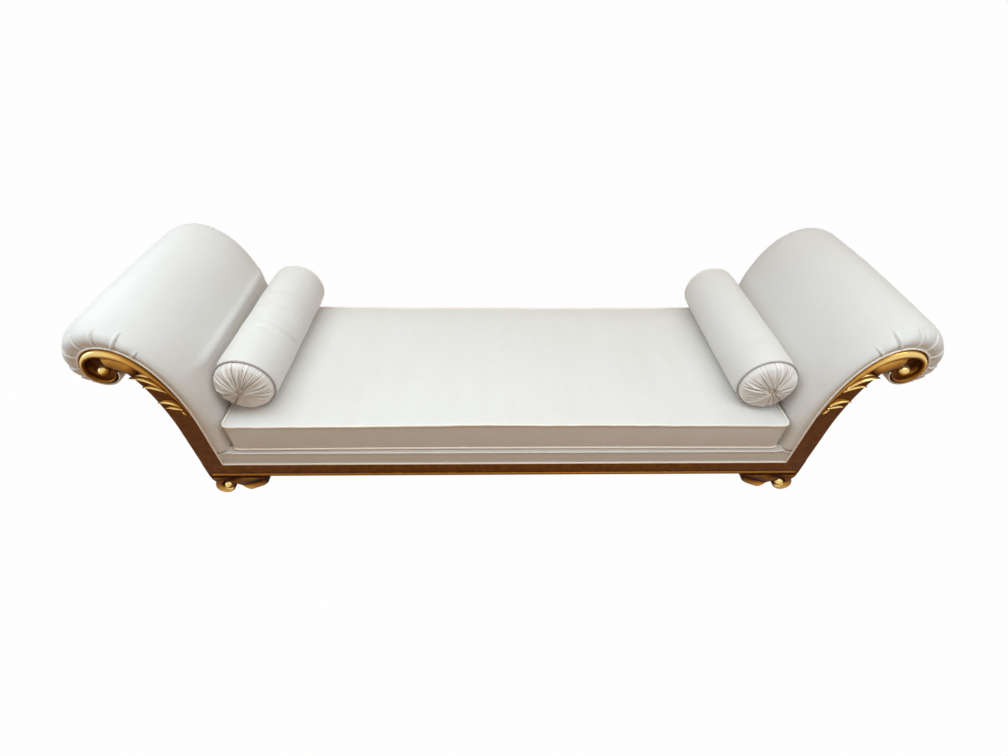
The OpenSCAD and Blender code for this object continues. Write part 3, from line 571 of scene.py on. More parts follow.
# Painted light on the gilding: brighter where a face turns towards this way, up and to the left front,
# darker where it turns away
PAINTED_LIGHT_WAY = np.array([-0.25, -0.45, 0.86])
PAINTED_SHADE_LEVEL, PAINTED_LIGHT_GAIN = 0.16, 1.15
# Level of plain gilded faces: the brown of antiqued gilding, kept darker as a painted reflection of dark
# surroundings
FLAT_LEVEL = 0.33
SUNK = 0.002
ACROSS = [k / 12 for k in range(13)]
CORNERS = [(x, y, ("front_" if y > 0 else "back_") + ("right_" if x > 0 else "left_"))
           for x in (-1, 1) for y in (-1, 1)]


def carve(name, node, shape, x, y, levels, alike=(), angle=35):
    """A gilded carving, mirrored to its place, with corners sharper than angle kept crisp. Its gilding
    has painted light: bright where a face turns up towards the painted light's way and dark where
    it turns away, times a level for each point. Each pair in alike is a point at a joint and the
    point it takes its painted light from."""
    mesh = make_piece(name, turned_over(shape, x, y), "frame", gilding, node).data
    normals = np.zeros(len(mesh.vertices) * 3)
    mesh.vertex_normals.foreach_get("vector", normals)
    normals = normals.reshape(-1, 3)
    for point, source in alike:
        normals[point] = normals[source]
    # Painted light and shade, from how each point faces the painted light's way
    facing = normals @ (PAINTED_LIGHT_WAY * np.array([1, y, 1]))
    share = PAINTED_SHADE_LEVEL + PAINTED_LIGHT_GAIN * np.clip(facing, 0, 1) ** 1.5
    set_attribute(mesh, "gilt_and_painted_light", np.array(levels) * share)
    mesh.set_sharp_from_angle(angle=radians(angle))


def end_pairs(first, rings, count):
    """The points of a skin's first and last ring, each with its neighbour one ring in."""
    pairs = [(first + k, first + count + k) for k in range(count)]
    last = first + (rings - 1) * count
    return pairs + [(last + k, last - count + k) for k in range(count)]


# The rounded band beside the welt at each s
RIM_WIDTHS = [(0.1, 0.003), (0.2, 0.008), (0.4, 0.017), (0.55, 0.024), (0.75, 0.030), (1, 0.029),
              (1.3, 0.023), (1.7, 0.015), (2, 0.0135), (2.5, 0.0145), (3, 0.013), (3.5, 0.009),
              (4, 0.004)]
RIM_HEIGHTS = [(0.1, 0.002), (0.3, 0.005), (0.6, 0.009), (1, 0.0125), (1.5, 0.012), (2, 0.011),
               (3, 0.010), (3.6, 0.007), (4, 0.003)]
RIM_IN = 0.0010
RIM_HOLD = 0.80
FACE_EDGE = 0.0020
MITRE_TOP = np.array([ARM_X + FACE_EDGE, RAIL_TOP - FACE_EDGE])
STILE_CELL = 0.0024
RECESS = 0.010
RECESS_PLACE = TURN_2 + np.array([0.000, 0.014])
RECESS_SIZE = np.array([0.033, 0.031])
EYE = TURN_2 + np.array([-0.007, -0.004])
EYE_R = 0.0175
EYE_IN = 0.006
# A painted highlight on the ball in the scroll's eye
EYE_LEVEL = 1.25
# How much brighter or darker the gilding is for each metre that the stile's face is raised or sunk:
# painted highlight on raised parts, painted shade in sunk ones
RAISED_GAIN, SUNK_GAIN = 58, 24
LOBE_FROM, LOBE_TO = TURN_2 + np.array([-0.046, 0.033]), TURN_2 + np.array([-0.080, 0.012])
LOBE_R = 0.026
LOBE_HEIGHT = 0.0115


def rim(first, last, spacing=0.004):
    """The rounded band that runs beside the welt, from s = first to s = last."""
    rings, levels = [], []
    for s in even_stations(first, last, spacing, 0):
        p, n = arm_path(s)
        width, height = smooth_lookup(s, RIM_WIDTHS), smooth_lookup(s, RIM_HEIGHTS)
        hold = RIM_HOLD * smooth_step(s, 0.5, 0.62) * (1 - smooth_step(s, 1.0, 1.12))
        ring = []
        for q in ACROSS:
            arch = sqrt(max(0.0, 1 - (2 * q - 1) ** 2))
            if q > 0.5:
                arch = max(arch, hold)
            place = p - n * (FACE_EDGE + RIM_IN + q * width)
            ring.append((place[0], -HALF_D - height * arch, place[1]))
            # Painted highlight along the band's crest, weaker low on the curve, and painted shade over the
            # lower turns of the scroll
            crest_highlight = 0.3 + 1.5 * arch ** 2.5 * min(1, 0.4 + 0.6 * s)
            levels.append(crest_highlight * (1 - 0.72 * smooth_step(s, 1.5, 2.4)))
        for q in (1, 0):
            place = p - n * (FACE_EDGE + RIM_IN + q * width)
            ring.append((place[0], -HALF_D + SUNK, place[1]))
        # Painted shade where the band's edges sink into the board
        levels += [0.1, 0.1]
        rings.append(ring)
    return loft(rings), levels, len(rings)


def stile_outline():
    inner = [arm_path(s) for s in even_stations(-1, 4, STILE_CELL, 0)]
    inner = [p - n * FACE_EDGE for p, n in inner]
    outer = [bezier(*OUTER_CURVE, t) for t in np.linspace(1, 0, 110)]
    low = [np.array([OUTER_X, mix(CURVE_Z, FOOT_H, t)]) for t in np.linspace(0, 1, 80)[1:]]
    mitre = [mix(low[-1], MITRE_TOP, t) for t in np.linspace(0, 1, 30)[1:]]
    return thinned(inner + outer + low + mitre, STILE_CELL * 0.4)


def capsule_distance(points, a, b):
    way = b - a
    share = np.clip(((points - a) @ way) / (way @ way), 0, 1)
    return np.sqrt(((points - a - share[:, None] * way) ** 2).sum(1))


def stile_height(outline):
    """The carved depth of the stile's face: flat, with a lobe and a recess round the eye."""
    line = np.array(outline)
    kept_sharp = line[:, 1] < RAIL_TOP + 0.003

    def height(points):
        place = (points - RECESS_PLACE) / RECESS_SIZE
        away = np.sqrt((place ** 2).sum(1))
        turn = np.arctan2(place[:, 1], place[:, 0])
        ripple = 0.0011 * np.sin(turn * 9) * smooth_step(away, 0.35, 0.6)
        sunk = (RECESS - ripple) * (1 - smooth_step(away, 0.80, 1.05))
        lobe = np.clip(1 - (capsule_distance(points, LOBE_FROM, LOBE_TO) / LOBE_R) ** 2, 0, 1)
        border, nearest = distances(points, line)
        soft = 0.0012 * (1 - smooth_step(border, 0, 0.003)) * ~kept_sharp[nearest]
        return np.where(lobe > 0, LOBE_HEIGHT * np.sqrt(lobe), -sunk) - soft

    return height


def leaflet(root, back, tip, belly, relief, steps=22):
    """A carved leaflet: fluted ridges that sweep from its root to a lifted tip."""

    def arc(m, t):
        pull = 2 * m - (root + tip) / 2
        return (1 - t) ** 2 * root + 2 * t * (1 - t) * pull + t * t * tip

    rings, levels = [], []
    for i in range(steps + 1):
        t = 0.02 + 0.96 * i / steps
        upper, lower = arc(back, t), arc(belly, t)
        rise = relief * (0.35 + 0.65 * sin(pi * min(1, 0.15 + 0.75 * t)))
        face = -HALF_D - 0.003 * smooth_step(t, 0.75, 1.0)
        ring = []
        for q in ACROSS:
            flute = sin(pi * q) ** 0.7 * (0.74 + 0.26 * cos(4 * pi * q))
            place = mix(upper, lower, q)
            ring.append((place[0], face - rise * flute, place[1]))
            # Painted highlight on the ridges of the flutes and painted shade in their grooves
            levels.append(0.2 + 1.5 * flute ** 2)
        ring += [(place[0], face + SUNK, place[1]) for place in (lower, upper)]
        # Painted shade where the leaflet's edges sink into the board
        levels += [0.0, 0.0]
        rings.append(ring)
    return loft(rings), levels


# Root, middle of the back, tip and middle of the belly, each a place for stile_at, and the relief
LEAFLETS = [
    ((0.5, 0.22), (0.57, 0.24), (0.73, 0.68), (0.6, 0.45), 0.007),
    ((0.37, 0.2), (0.52, 0.3), (0.88, 1.1), (0.57, 0.56), 0.010),
    ((0.34, 0.18), (0.46, 0.34), (0.67, 0.97), (0.46, 0.55), 0.0085),
    ((0.2, 0.15), (0.3, 0.33), (0.45, 0.97), (0.3, 0.55), 0.010),
    ((0.18, 0.16), (0.25, 0.38), (0.33, 0.8), (0.24, 0.56), 0.008),
    ((0.13, 0.15), (0.16, 0.12), (0.19, 0.3), (0.15, 0.36), 0.006)]


def on_mitre(point):
    """Whether a point of a stile lies on its mitre with the rail."""
    way = MITRE_TOP - np.array([OUTER_X, FOOT_H])
    return abs((point[0] - OUTER_X) * way[1] - (point[2] - FOOT_H) * way[0]) < 1e-5


def make_stiles():
    outline = stile_outline()
    verts, faces, raised = board(outline, stile_height(outline), STILE_T, STILE_CELL)
    # Painted highlight where the face is raised and painted shade where it is sunk
    levels = [FLAT_LEVEL + (RAISED_GAIN * h if h > 0 else SUNK_GAIN * min(0, h + SUNK)) for h in raised]
    plain_place = (OUTER_X - 0.04, -HALF_D, CURVE_Z)
    plain = min(range(len(verts)), key=lambda i: dist(verts[i], plain_place))
    alike = [(i, plain) for i, v in enumerate(verts) if on_mitre(v)]
    band, band_levels, band_rings = rim(1, 4)
    count = len(band[0]) // band_rings
    eye = ball(EYE, EYE_R, -HALF_D + EYE_IN)
    stile = joined([(verts, faces), band, eye])
    levels += band_levels + [EYE_LEVEL] * len(eye[0])
    alike += end_pairs(len(verts), band_rings, count)
    low_band, leaf_levels, low_rings = rim(0.1, 1)
    shells = [low_band]
    for row in LEAFLETS:
        shell, found = leaflet(*(stile_at(*place) for place in row[:4]), row[4])
        shells.append(shell)
        leaf_levels += found
    leaf, leaf_alike = joined(shells), end_pairs(0, low_rings, count)
    for x, y, corner in CORNERS:
        stile_name, leaf_name = corner + "stile", corner + "leaf"
        carve("carved_" + stile_name, stile_name, stile, x, y, levels, alike, 60)
        carve("carved_" + leaf_name, leaf_name, leaf, x, y, leaf_levels, leaf_alike, 60)


RAIL_T = 0.024
BEAD_R, BEAD_RISE = 0.005, 0.010
# A painted highlight on the bead, brightest where it stands out most
BEAD_LEVEL = 0.10


def make_rails():
    """The show rails, with mitred ends, a rounded bead and a shallow hollow above it."""
    height = RAIL_TOP - FACE_EDGE - FOOT_H
    section = [(0, RAIL_T), (0, 0.002), (0.0008, 0.0004), (0.004, 0)]
    section += [(BEAD_RISE + BEAD_R * 1.05 * sin(a), -BEAD_R * 0.85 * cos(a))
                for a in np.radians(np.linspace(-90, 90, 11))]
    section += [(0.0165, 0.0006), (0.0185, 0.0002), (height - 0.002, 0), (height - 0.0004, 0.0008),
                (height, 0.002), (height, RAIL_T)]
    # Painted highlight on the bead
    levels = [FLAT_LEVEL + (BEAD_LEVEL * (-y / BEAD_R) if y < -0.001 else 0) for _, y in section]
    steps = 120
    rings = []
    for i in range(steps + 1):
        share = 2 * i / steps - 1
        rings.append([(share * mix(OUTER_X, ARM_X + FACE_EDGE, z / height), -HALF_D + y, FOOT_H + z)
                      for z, y in section])
    for y, name in ((1, "front"), (-1, "back")):
        carve("gilded_" + name + "_rail", name + "_show_rail", loft(rings), 1, y,
              levels * (steps + 1), end_pairs(0, steps + 1, len(section)))


FOOT_T = 0.060
FOOT_L = 0.199
FOOT_R = 0.033
FOOT_EYE_R = 0.0155
BRACKET_DROP = 0.070
GLIDE_T = 0.003
FOOT_CELL = 0.0022
SCROLL = np.array([OUTER_X - FOOT_R, GLIDE_T + FOOT_R])
FOOT_EYE = SCROLL + np.array([-0.020, 0.014])
FOOT_BULGE = 0.0075
FOOT_IN = 0.0003
FOOT_THIN = 0.0012
RING_DEPTH, RIDGE_DEPTH = 0.011, 0.0065
RIDGES_UP, RIDGES_ALONG = 62, 26
# Gilding of the feet: painted light from the floor on their lower parts, painted shade in the sunk ring
# and the leaf's grooves, and a painted highlight on the ball
FOOT_LEVEL, FOOT_FLOOR_LIGHT_GAIN, FOOT_DEPTH_GAIN = 0.42, 1.2, 120
FOOT_SIDE_LEVEL, FOOT_EYE_LEVEL = 0.9, 1.5
# The leaf bracket's lower edge, as shares of its length and of its drop
BRACKET = [(0, 0.12), (0.02, 0.72), (0.22, 0.72), (0.5, 1.0), (0.70, 1.1), (0.8, 0.6), (0.95, 0.45)]


def bracket_at(i):
    return np.array([OUTER_X - FOOT_L + BRACKET[i][0] * (FOOT_L - 2 * FOOT_R),
                     FOOT_H - BRACKET[i][1] * BRACKET_DROP])


def foot_outline():
    corner = np.array([OUTER_X - FOOT_IN, FOOT_H])
    points = [np.array([mix(corner[0], OUTER_X - FOOT_L, t), FOOT_H]) for t in np.linspace(0, 1, 60)]
    points += [bezier(*(bracket_at(i) for i in range(4)), t) for t in np.linspace(0, 1, 40)]
    points += [bezier(*(bracket_at(i) for i in range(3, 7)), t) for t in np.linspace(0, 1, 24)]
    neck_in = SCROLL + FOOT_R * np.array([-0.8, 0.6])
    start = degrees(atan2(0.6, -0.8))
    points += [mix(points[-1], neck_in, t) for t in np.linspace(0, 1, 8)]
    points += [SCROLL + FOOT_R * np.array([cos(a), sin(a)])
               for a in np.radians(np.linspace(start, 360 + 53.13, 80))]
    points += [mix(points[-1], corner, t) for t in np.linspace(0, 1, 12)]
    return thinned(points, FOOT_THIN)


def foot_height(outline):
    """The carved face of a foot: a full scroll with a sunk ring round its ball, and a ridged leaf."""
    edge_points = np.array(outline)

    def height(points):
        border = distances(points, edge_points)[0]
        full = FOOT_BULGE * smooth_step(border, 0, 0.006) - 0.001 * (1 - smooth_step(border, 0, 0.002))
        away = np.sqrt(((points - FOOT_EYE) ** 2).sum(1))
        ring = RING_DEPTH * smooth_step(away, 0.008, 0.013) * (1 - smooth_step(away, 0.017, 0.024))
        along = points[:, 0] - (OUTER_X - FOOT_L)
        on_leaf = smooth_step(np.sqrt(((points - SCROLL) ** 2).sum(1)), 0.034, 0.046)
        ridge = np.abs(np.sin((points[:, 1] - FOOT_H) * RIDGES_UP + along * RIDGES_ALONG + 0.4))
        return full - ring - RIDGE_DEPTH * on_leaf * (1 - ridge ** 0.7) * smooth_step(border, 0.0, 0.008)

    return height


def make_feet():
    outline = foot_outline()
    verts, faces, raised = board(outline, foot_height(outline), FOOT_T, FOOT_CELL)
    # Painted light reflected from the floor, stronger towards the bottom of the foot
    painted_floor_light = [smooth_step(1 - v[2] / FOOT_H, 0.2, 0.9) for v in verts]
    levels = [FOOT_LEVEL + FOOT_FLOOR_LIGHT_GAIN * low + FOOT_DEPTH_GAIN * (h - FOOT_BULGE)
              for h, low in zip(raised, painted_floor_light)]
    levels = [float(np.clip(level, 0.02, 1.9)) for level in levels]
    levels[-len(outline):] = [FOOT_SIDE_LEVEL] * len(outline)
    eye = ball(FOOT_EYE, FOOT_EYE_R, -HALF_D)
    foot = joined([(verts, faces), eye])
    levels += [FOOT_EYE_LEVEL] * len(eye[0])
    for x, y, corner in CORNERS:
        carve("carved_" + corner + "foot", corner + "foot", foot, x, y, levels, angle=50)


# Upholstery of the frame

# Pleats along each arm's front edge: place along the arm's curve, reach over the roll, depth
ARM_PLEATS = {
    "left": [(0.675, 0.050, 0.0046), (0.84, 0.082, 0.0062), (1.0, 0.070, 0.0050),
             (1.31, 0.052, 0.0045), (1.63, 0.050, 0.0050), (1.93, 0.046, 0.0048),
             (2.2, 0.045, 0.0048), (2.45, 0.042, 0.0034), (2.7, 0.040, 0.0024),
             (2.95, 0.038, 0.0018), (3.2, 0.036, 0.0016), (3.42, 0.034, 0.0014)],
    "right": [(0.71, 0.064, 0.0044), (0.865, 0.094, 0.0060), (1.045, 0.092, 0.0056),
              (1.32, 0.074, 0.0046), (1.6, 0.054, 0.0050), (1.9, 0.048, 0.0048),
              (2.18, 0.045, 0.0046), (2.46, 0.042, 0.0034), (2.7, 0.040, 0.0024),
              (2.97, 0.038, 0.0018), (3.2, 0.036, 0.0016), (3.42, 0.034, 0.0014)]}
PLEAT_W = 0.0021
CREASE = {"left": 0.9, "right": 0.06}
BACK_SLOPE = 0.0065
BACK_PLEATS = 0.4
# How dark the painted shade in a pleat's groove is for each metre of its depth
FOLD_SHADE_GAIN = 120
CREASE_S = 0.30
CREASE_SHADE = 0.40
CREASE_LEAN = 0.018
CREASE_FULL, CREASE_DEPTH = 0.0042, 0.0075
PUFF = 0.0024
PUFF_REACH = 0.07
WOBBLE = 0.0012
COVER_IN = 0.012


def roll_section():
    """Places across an arm from its front welt to the crown: share of the padding and inset."""
    places = [(share, inset * EDGE_ROLL) for share, inset in smooth_line(ROLL_TABLE, 5)]
    start, flats = places[-1][1], 26
    return places + [(1, mix(start, HALF_D, (i / flats) ** 1.25)) for i in range(1, flats + 1)]


def arm_stations():
    """Values of s that lie close together where the arm is pleated."""
    stations = even_stations(-0.64, 0.6, 0.005)[:-1] + even_stations(0.6, 2.1, 0.0020)[:-1]
    return np.array(stations + even_stations(2.1, COVER_END, 0.0026))


def grid_normals(grid):
    """Unit normals of a grid of points, from its rows and columns."""
    along = np.gradient(grid, axis=0)
    across = np.gradient(grid, axis=1)
    normals = np.cross(along, across)
    return normals / np.maximum(np.linalg.norm(normals, axis=2, keepdims=True), 1e-12)


def pleat_relief(pleats, place, length_at, travel):
    """Depth of the pleats over rows placed along the curve and columns over the roll."""
    relief = np.zeros((len(place), len(travel)))
    lengths = [length_at(s) for s, _, _ in pleats]
    for (s, reach, depth), at in zip(pleats, lengths):
        away = (place - at)[:, None]
        fade = (1 - smooth_step(travel, reach * 0.45, reach))[None, :]
        fade = fade * (0.55 + 0.45 * smooth_step(travel, 0.0, 0.012))[None, :]
        groove = bell(away, 0, PLEAT_W)
        lip = bell(away, 2.6 * PLEAT_W, 1.8 * PLEAT_W)
        relief += depth * fade * (0.75 * lip - 0.7 * groove)
    height = np.interp(place, lengths, range(len(lengths)), left=0, right=len(lengths) - 1)
    puff = np.sin(pi * (height % 1)) ** 2
    swell = np.sin(pi * np.clip(travel / PUFF_REACH, 0, 1)) ** 2
    return relief + PUFF * puff[:, None] * swell[None, :]


def crease_relief(place, length_at, y):
    """A pulled fold from back to front along the arm's inner face, fuller above than below, and the
    shade under it."""
    lean = CREASE_LEAN * smooth_step(-y, 0.19, 0.30)
    away = place[:, None] - (length_at(CREASE_S) + lean)[None, :]
    full = CREASE_FULL * bell(away, 0.010, 0.012)
    below = -CREASE_DEPTH * smooth_step(-away, -0.005, 0.045) * (1 - smooth_step(-away, 0.055, 0.16))
    fade = (1 - smooth_step(-y, 0.16, 0.33)) * (1 - 0.4 * smooth_step(y, 0.25, 0.33))
    shade = CREASE_SHADE * smooth_step(-away, -0.004, 0.006) * (1 - smooth_step(-away, 0.03, 0.13))
    return (full + below) * fade[None, :], shade * fade[None, :]


def arm_shell(side, seed):
    stations = arm_stations()
    fine = np.linspace(-0.7, 4, 1600)
    lengths = lengths_along(padded_line(fine, 0.7))

    def length_at(s):
        return np.interp(s, fine, lengths)

    section = roll_section()
    front = len(section)
    shares = np.array([share for share, _ in section + section[-2::-1]])
    insets = np.array([inset for _, inset in section + section[-2::-1]])
    facing = np.array([-1.0] * front + [1.0] * (front - 1))
    y = facing * (HALF_D - insets)
    steps = np.hypot(np.diff(shares) * ROLL_PAD * 0.85, np.diff(insets))
    travel = np.concatenate([[0], np.cumsum(steps[:front - 1])])
    travel = np.concatenate([travel, travel[-2::-1]])
    points, normals = [np.array(found) for found in zip(*(arm_path(s) for s in stations))]
    pads = np.array([padding(s) for s in stations])
    flat = np.where(shares >= 1, np.maximum(0, 1 - (y / (HALF_D - 0.9 * EDGE_ROLL)) ** 2), 0)
    lift = EDGE + (pads - EDGE)[:, None] * shares[None, :]
    lift += (ARM_CROWN * pads / ROLL_PAD)[:, None] * flat[None, :]
    back_fall = bell(stations, 1.0, 0.3)[:, None] * smooth_step(y, 0.0, 0.3)[None, :]
    lift -= BACK_SLOPE * back_fall * shares[None, :]
    flat_grid = points[:, None, :] + normals[:, None, :] * lift[:, :, None]
    grid = np.stack([flat_grid[:, :, 0], np.broadcast_to(y, lift.shape), flat_grid[:, :, 1]], 2)
    outward = grid_normals(grid)
    if outward[60, front, 0] * normals[60][0] + outward[60, front, 2] * normals[60][1] < 0:
        outward = -outward
    place = length_at(stations)
    other = "right" if side == "left" else "left"
    pleats = np.where(facing < 0, pleat_relief(ARM_PLEATS[side], place, length_at, travel),
                      pleat_relief(ARM_PLEATS[other], place, length_at, travel) * BACK_PLEATS)
    pleats *= smooth_step(pads, 0.006, 0.045)[:, None]
    crease, shade = crease_relief(place, length_at, y)
    wobble = np.array([[noise_at(a * 7 + seed, b * 6, 0.3) for b in y] for a in place])
    relief = pleats + crease * CREASE[side] + WOBBLE * wobble * shares[None, :]
    grid = grid + outward * relief[:, :, None]
    rings, folds = [], []
    for i, (p, n) in enumerate(zip(points, normals)):
        base = p + n * EDGE * 0.4
        inner = [(base[0], HALF_D - COVER_IN, base[1]), (base[0], -HALF_D + COVER_IN, base[1])]
        rings.append([tuple(q) for q in grid[i]] + inner)
        # Painted shade in the pleats' grooves and under the crease
        folds += list(np.clip(-pleats[i] * FOLD_SHADE_GAIN + shade[i] * CREASE[side], 0, 1)) + [0, 0]
    return loft(rings), folds


def make_arms():
    for x, side, seed in ((-1, "left", 3.7), (1, "right", 9.1)):
        shape, folds = arm_shell(side, seed)
        make_piece(side + "_arm_upholstery", turned_over(shape, x), "frame", silk_across,
                   side + "_arm_cover", folds)


WELT_LOOK_R = 0.0029
WELT_OUT = 0.0022
WELT_PROUD = 0.0058


def make_show_welts():
    """One cord along the rail and both arms, front and back."""
    arm = [arm_path(s) for s in even_stations(-1, WELT_END, 0.0035, 0)]
    arm = [p + n * WELT_OUT for p, n in arm]
    corner = np.array([ARM_X - WELT_OUT, RAIL_TOP + WELT_OUT])
    arm[0] = corner
    rail = [np.array([x, corner[1]]) for x in np.linspace(-corner[0], corner[0], 560)[1:-1]]
    line = [np.array([-p[0], p[1]]) for p in arm[::-1]] + rail + arm
    for y, name in ((-1, "front"), (1, "back")):
        points = [(p[0], y * (HALF_D + WELT_PROUD - WELT_LOOK_R), p[1]) for p in line]
        make_piece(name + "_show_piping", tube(points, WELT_LOOK_R, (0, 1, 0)), "frame", piping,
                   name + "_welt")


# The padded band's section, as shares of its depth and of its height, and the painted shade there
BAND = [(-0.05, 0), (-0.03, 0.05), (0.0, 0.15), (0.0, 0.4), (0.03, 0.68), (0.07, 0.79), (0.03, 0.825),
        (-0.09, 0.85), (-0.12, 0.875), (-0.08, 0.905), (0.02, 0.915), (0.08, 0.91), (0.3, 0.94),
        (0.6, 1.0), (1, 1)]
BAND_SHADES = [0.30, 0.28, 0.22, 0.12, 0.02, 0.10, 0.15, 0.0, 0.0, 0.0, 0.10, 0.45, 0.55, 0.6, 0.6]
BAND_HUMP, BAND_DIP, BAND_RIPPLE = 0.005, 0.006, 0.0007


def make_bands():
    """The padded band between rail and cushion, with a roll on top that peaks near each arm."""
    (_, low_y, _), (_, high_y, _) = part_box("front_band")
    low_z = RAIL_TOP + WELT_R * 0.6
    section = smooth_line(BAND, 4)
    shades = [v for _, v in smooth_line(list(enumerate(BAND_SHADES)), 4)] + [0]
    steps = 420
    rings = []
    for i in range(steps + 1):
        x = mix(0.001 - ARM_X, ARM_X - 0.001, i / steps)
        near = ARM_X - abs(x)
        hump = BAND_HUMP * bell(near, 0.040, 0.010) - BAND_DIP * bell(near, 0, 0.018)
        ripple = BAND_RIPPLE * noise_at(x * 14, 0.0, 0.0)
        ring = [(x, mix(low_y, high_y, depth) - ripple * sin(pi * rise), mix(low_z, DECK_Z + hump, rise))
                for depth, rise in section]
        rings.append(ring + [(x, high_y, low_z)])
    for y, name in ((1, "front"), (-1, "back")):
        make_piece(name + "_padded_band", turned_over(loft(rings), 1, y), "frame", silk_along,
                   name + "_band", shades * (steps + 1))


# Cushion

CUSHION_WELT_R = 0.004
CROWN = 0.0112
CORNER_R = 0.022
CORNER_PULL = 0.0065
END_BOW, FRONT_BOW = 0.001, 0.0035
WAVE, PUCKER, EDGE_WAVE = 0.0011, 0.0016, 0.0032
ZIP_PROUD = 0.0014
COIL_R = 0.0014
COIL_IN = 0.006
RIB_PITCH = 0.0011
CLOTH = {"quality": 6, "mass": 0.2, "tension_stiffness": 20, "compression_stiffness": 20,
         "bending_stiffness": 0.8, "use_pressure": True, "uniform_pressure_force": 3.0,
         "vertex_group_mass": "held"}
CLOTH_FRAMES = 20
SWELL_CAP = 0.008


def coordinates(mesh):
    values = np.zeros(len(mesh.vertices) * 3)
    mesh.vertices.foreach_get("co", values)
    return values.reshape(-1, 3)


def set_coordinates(mesh, values):
    mesh.vertices.foreach_set("co", values.ravel())
    mesh.update()


def inflate(obj, held):
    """Swells a soft shell by a cloth simulation, holding some points and capping the movement."""
    start = coordinates(obj.data)
    group = obj.vertex_groups.new(name="held")
    for share in sorted(set(held.values())):
        group.add([i for i, value in held.items() if value == share], share, "REPLACE")
    cloth = obj.modifiers.new("cloth", "CLOTH")
    for key, value in CLOTH.items():
        setattr(cloth.settings, key, value)
    cloth.settings.effector_weights.gravity = 0
    cloth.point_cache.frame_start = 1
    cloth.point_cache.frame_end = CLOTH_FRAMES
    for number in range(1, CLOTH_FRAMES + 1):
        bpy.context.scene.frame_set(number)
    swollen = obj.evaluated_get(bpy.context.evaluated_depsgraph_get())
    move = coordinates(swollen.to_mesh()) - start
    swollen.to_mesh_clear()
    obj.modifiers.remove(cloth)
    obj.vertex_groups.remove(group)
    bpy.context.scene.frame_set(1)
    size = np.linalg.norm(move, axis=1, keepdims=True)
    set_coordinates(obj.data, start + move * np.minimum(1, SWELL_CAP / np.maximum(size, 1e-9)))


def cushion_mesh(low, high, cell=0.012, nz=8):
    """A boxed cushion as a closed grid: top, bottom and sides, with its two seam loops."""
    nx, ny = int((high.x - low.x) / cell), int((high.y - low.y) / cell)
    verts, index = [], {}

    def vertex(i, j, k):
        if (i, j, k) in index:
            return index[i, j, k]
        u, v = 2 * i / nx - 1, 2 * j / ny - 1
        x, y, z = u * (high.x - low.x) / 2, mix(low.y, high.y, j / ny), mix(low.z, high.z, k / nz)
        corner_u = max(0.0, (abs(x) - (high.x - CORNER_R)) / CORNER_R)
        corner_v = max(0.0, (abs(y) - (high.y - CORNER_R)) / CORNER_R)
        pull = CORNER_PULL * (corner_u * corner_v) ** 1.2
        x -= copysign(pull + END_BOW * (1 - v * v) * abs(u) ** 10, x)
        y -= copysign(pull + FRONT_BOW * (1 - u * u) * abs(v) ** 6, y)
        if k == nz:
            z += CROWN * (1 - abs(u) ** 9) * (1 - abs(v) ** (5 if v > 0 else 3.6))
        index[i, j, k] = len(verts)
        verts.append((x, y, z))
        return index[i, j, k]

    faces = []
    for k in (0, nz):
        for i in range(nx):
            for j in range(ny):
                face = [vertex(*at, k) for at in ((i, j), (i + 1, j), (i + 1, j + 1), (i, j + 1))]
                faces.append(face if k else face[::-1])
    loop = ([(i, 0) for i in range(nx)] + [(nx, j) for j in range(ny)]
            + [(i, ny) for i in range(nx, 0, -1)] + [(0, j) for j in range(ny, 0, -1)])
    for a, b in zip(loop, loop[1:] + loop[:1]):
        faces += [[vertex(*a, k), vertex(*b, k), vertex(*b, k + 1), vertex(*a, k + 1)] for k in range(nz)]
    seams = [[vertex(*at, k) for at in loop] for k in (0, nz)]
    flat = [vertex(i, j, 0) for i in range(nx + 1) for j in range(ny + 1)]
    return (verts, faces), seams, flat


def drawn_in_at_zip(shape, low, high):
    """Draws the back boxing in along its zip, so that the tape lies flush with the silk."""
    zip_low, zip_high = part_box("cushion_zip")
    middle = (zip_low.z + zip_high.z) / 2
    boxing = (shape[:, 1] > 0.3) & (shape[:, 2] > low.z + 0.004) & (shape[:, 2] < high.z - 0.004)
    share = 1 - smooth_step(np.abs(shape[:, 0]), zip_high.x + 0.002, zip_high.x + 0.06)
    share = share * (1 - smooth_step(np.abs(shape[:, 2] - middle), 0.015, 0.045)) * boxing
    shape[:, 1] -= share * np.maximum(0, shape[:, 1] - (zip_high.y - ZIP_PROUD))


def make_zip_coil():
    """The ribbed coil down the middle of the zip's tape."""
    low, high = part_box("cushion_zip")
    count = int((high.x - low.x - 2 * COIL_IN) / RIB_PITCH)
    rings = []
    for i in range(count + 1):
        radius = COIL_R * (1.0 if i % 2 else 0.66)
        rings.append([(mix(low.x + COIL_IN, high.x - COIL_IN, i / count), high.y + radius * cos(a),
                       (low.z + high.z) / 2 + radius * sin(a)) for a in circle(6)])
    make_piece("cushion_zip_coil", loft(rings), "cushion", decking)


def neighbours(line):
    """Each item of a loop between the one before it and the one after it."""
    return zip(line[-1:] + line[:-1], line, line[1:] + line[:1])


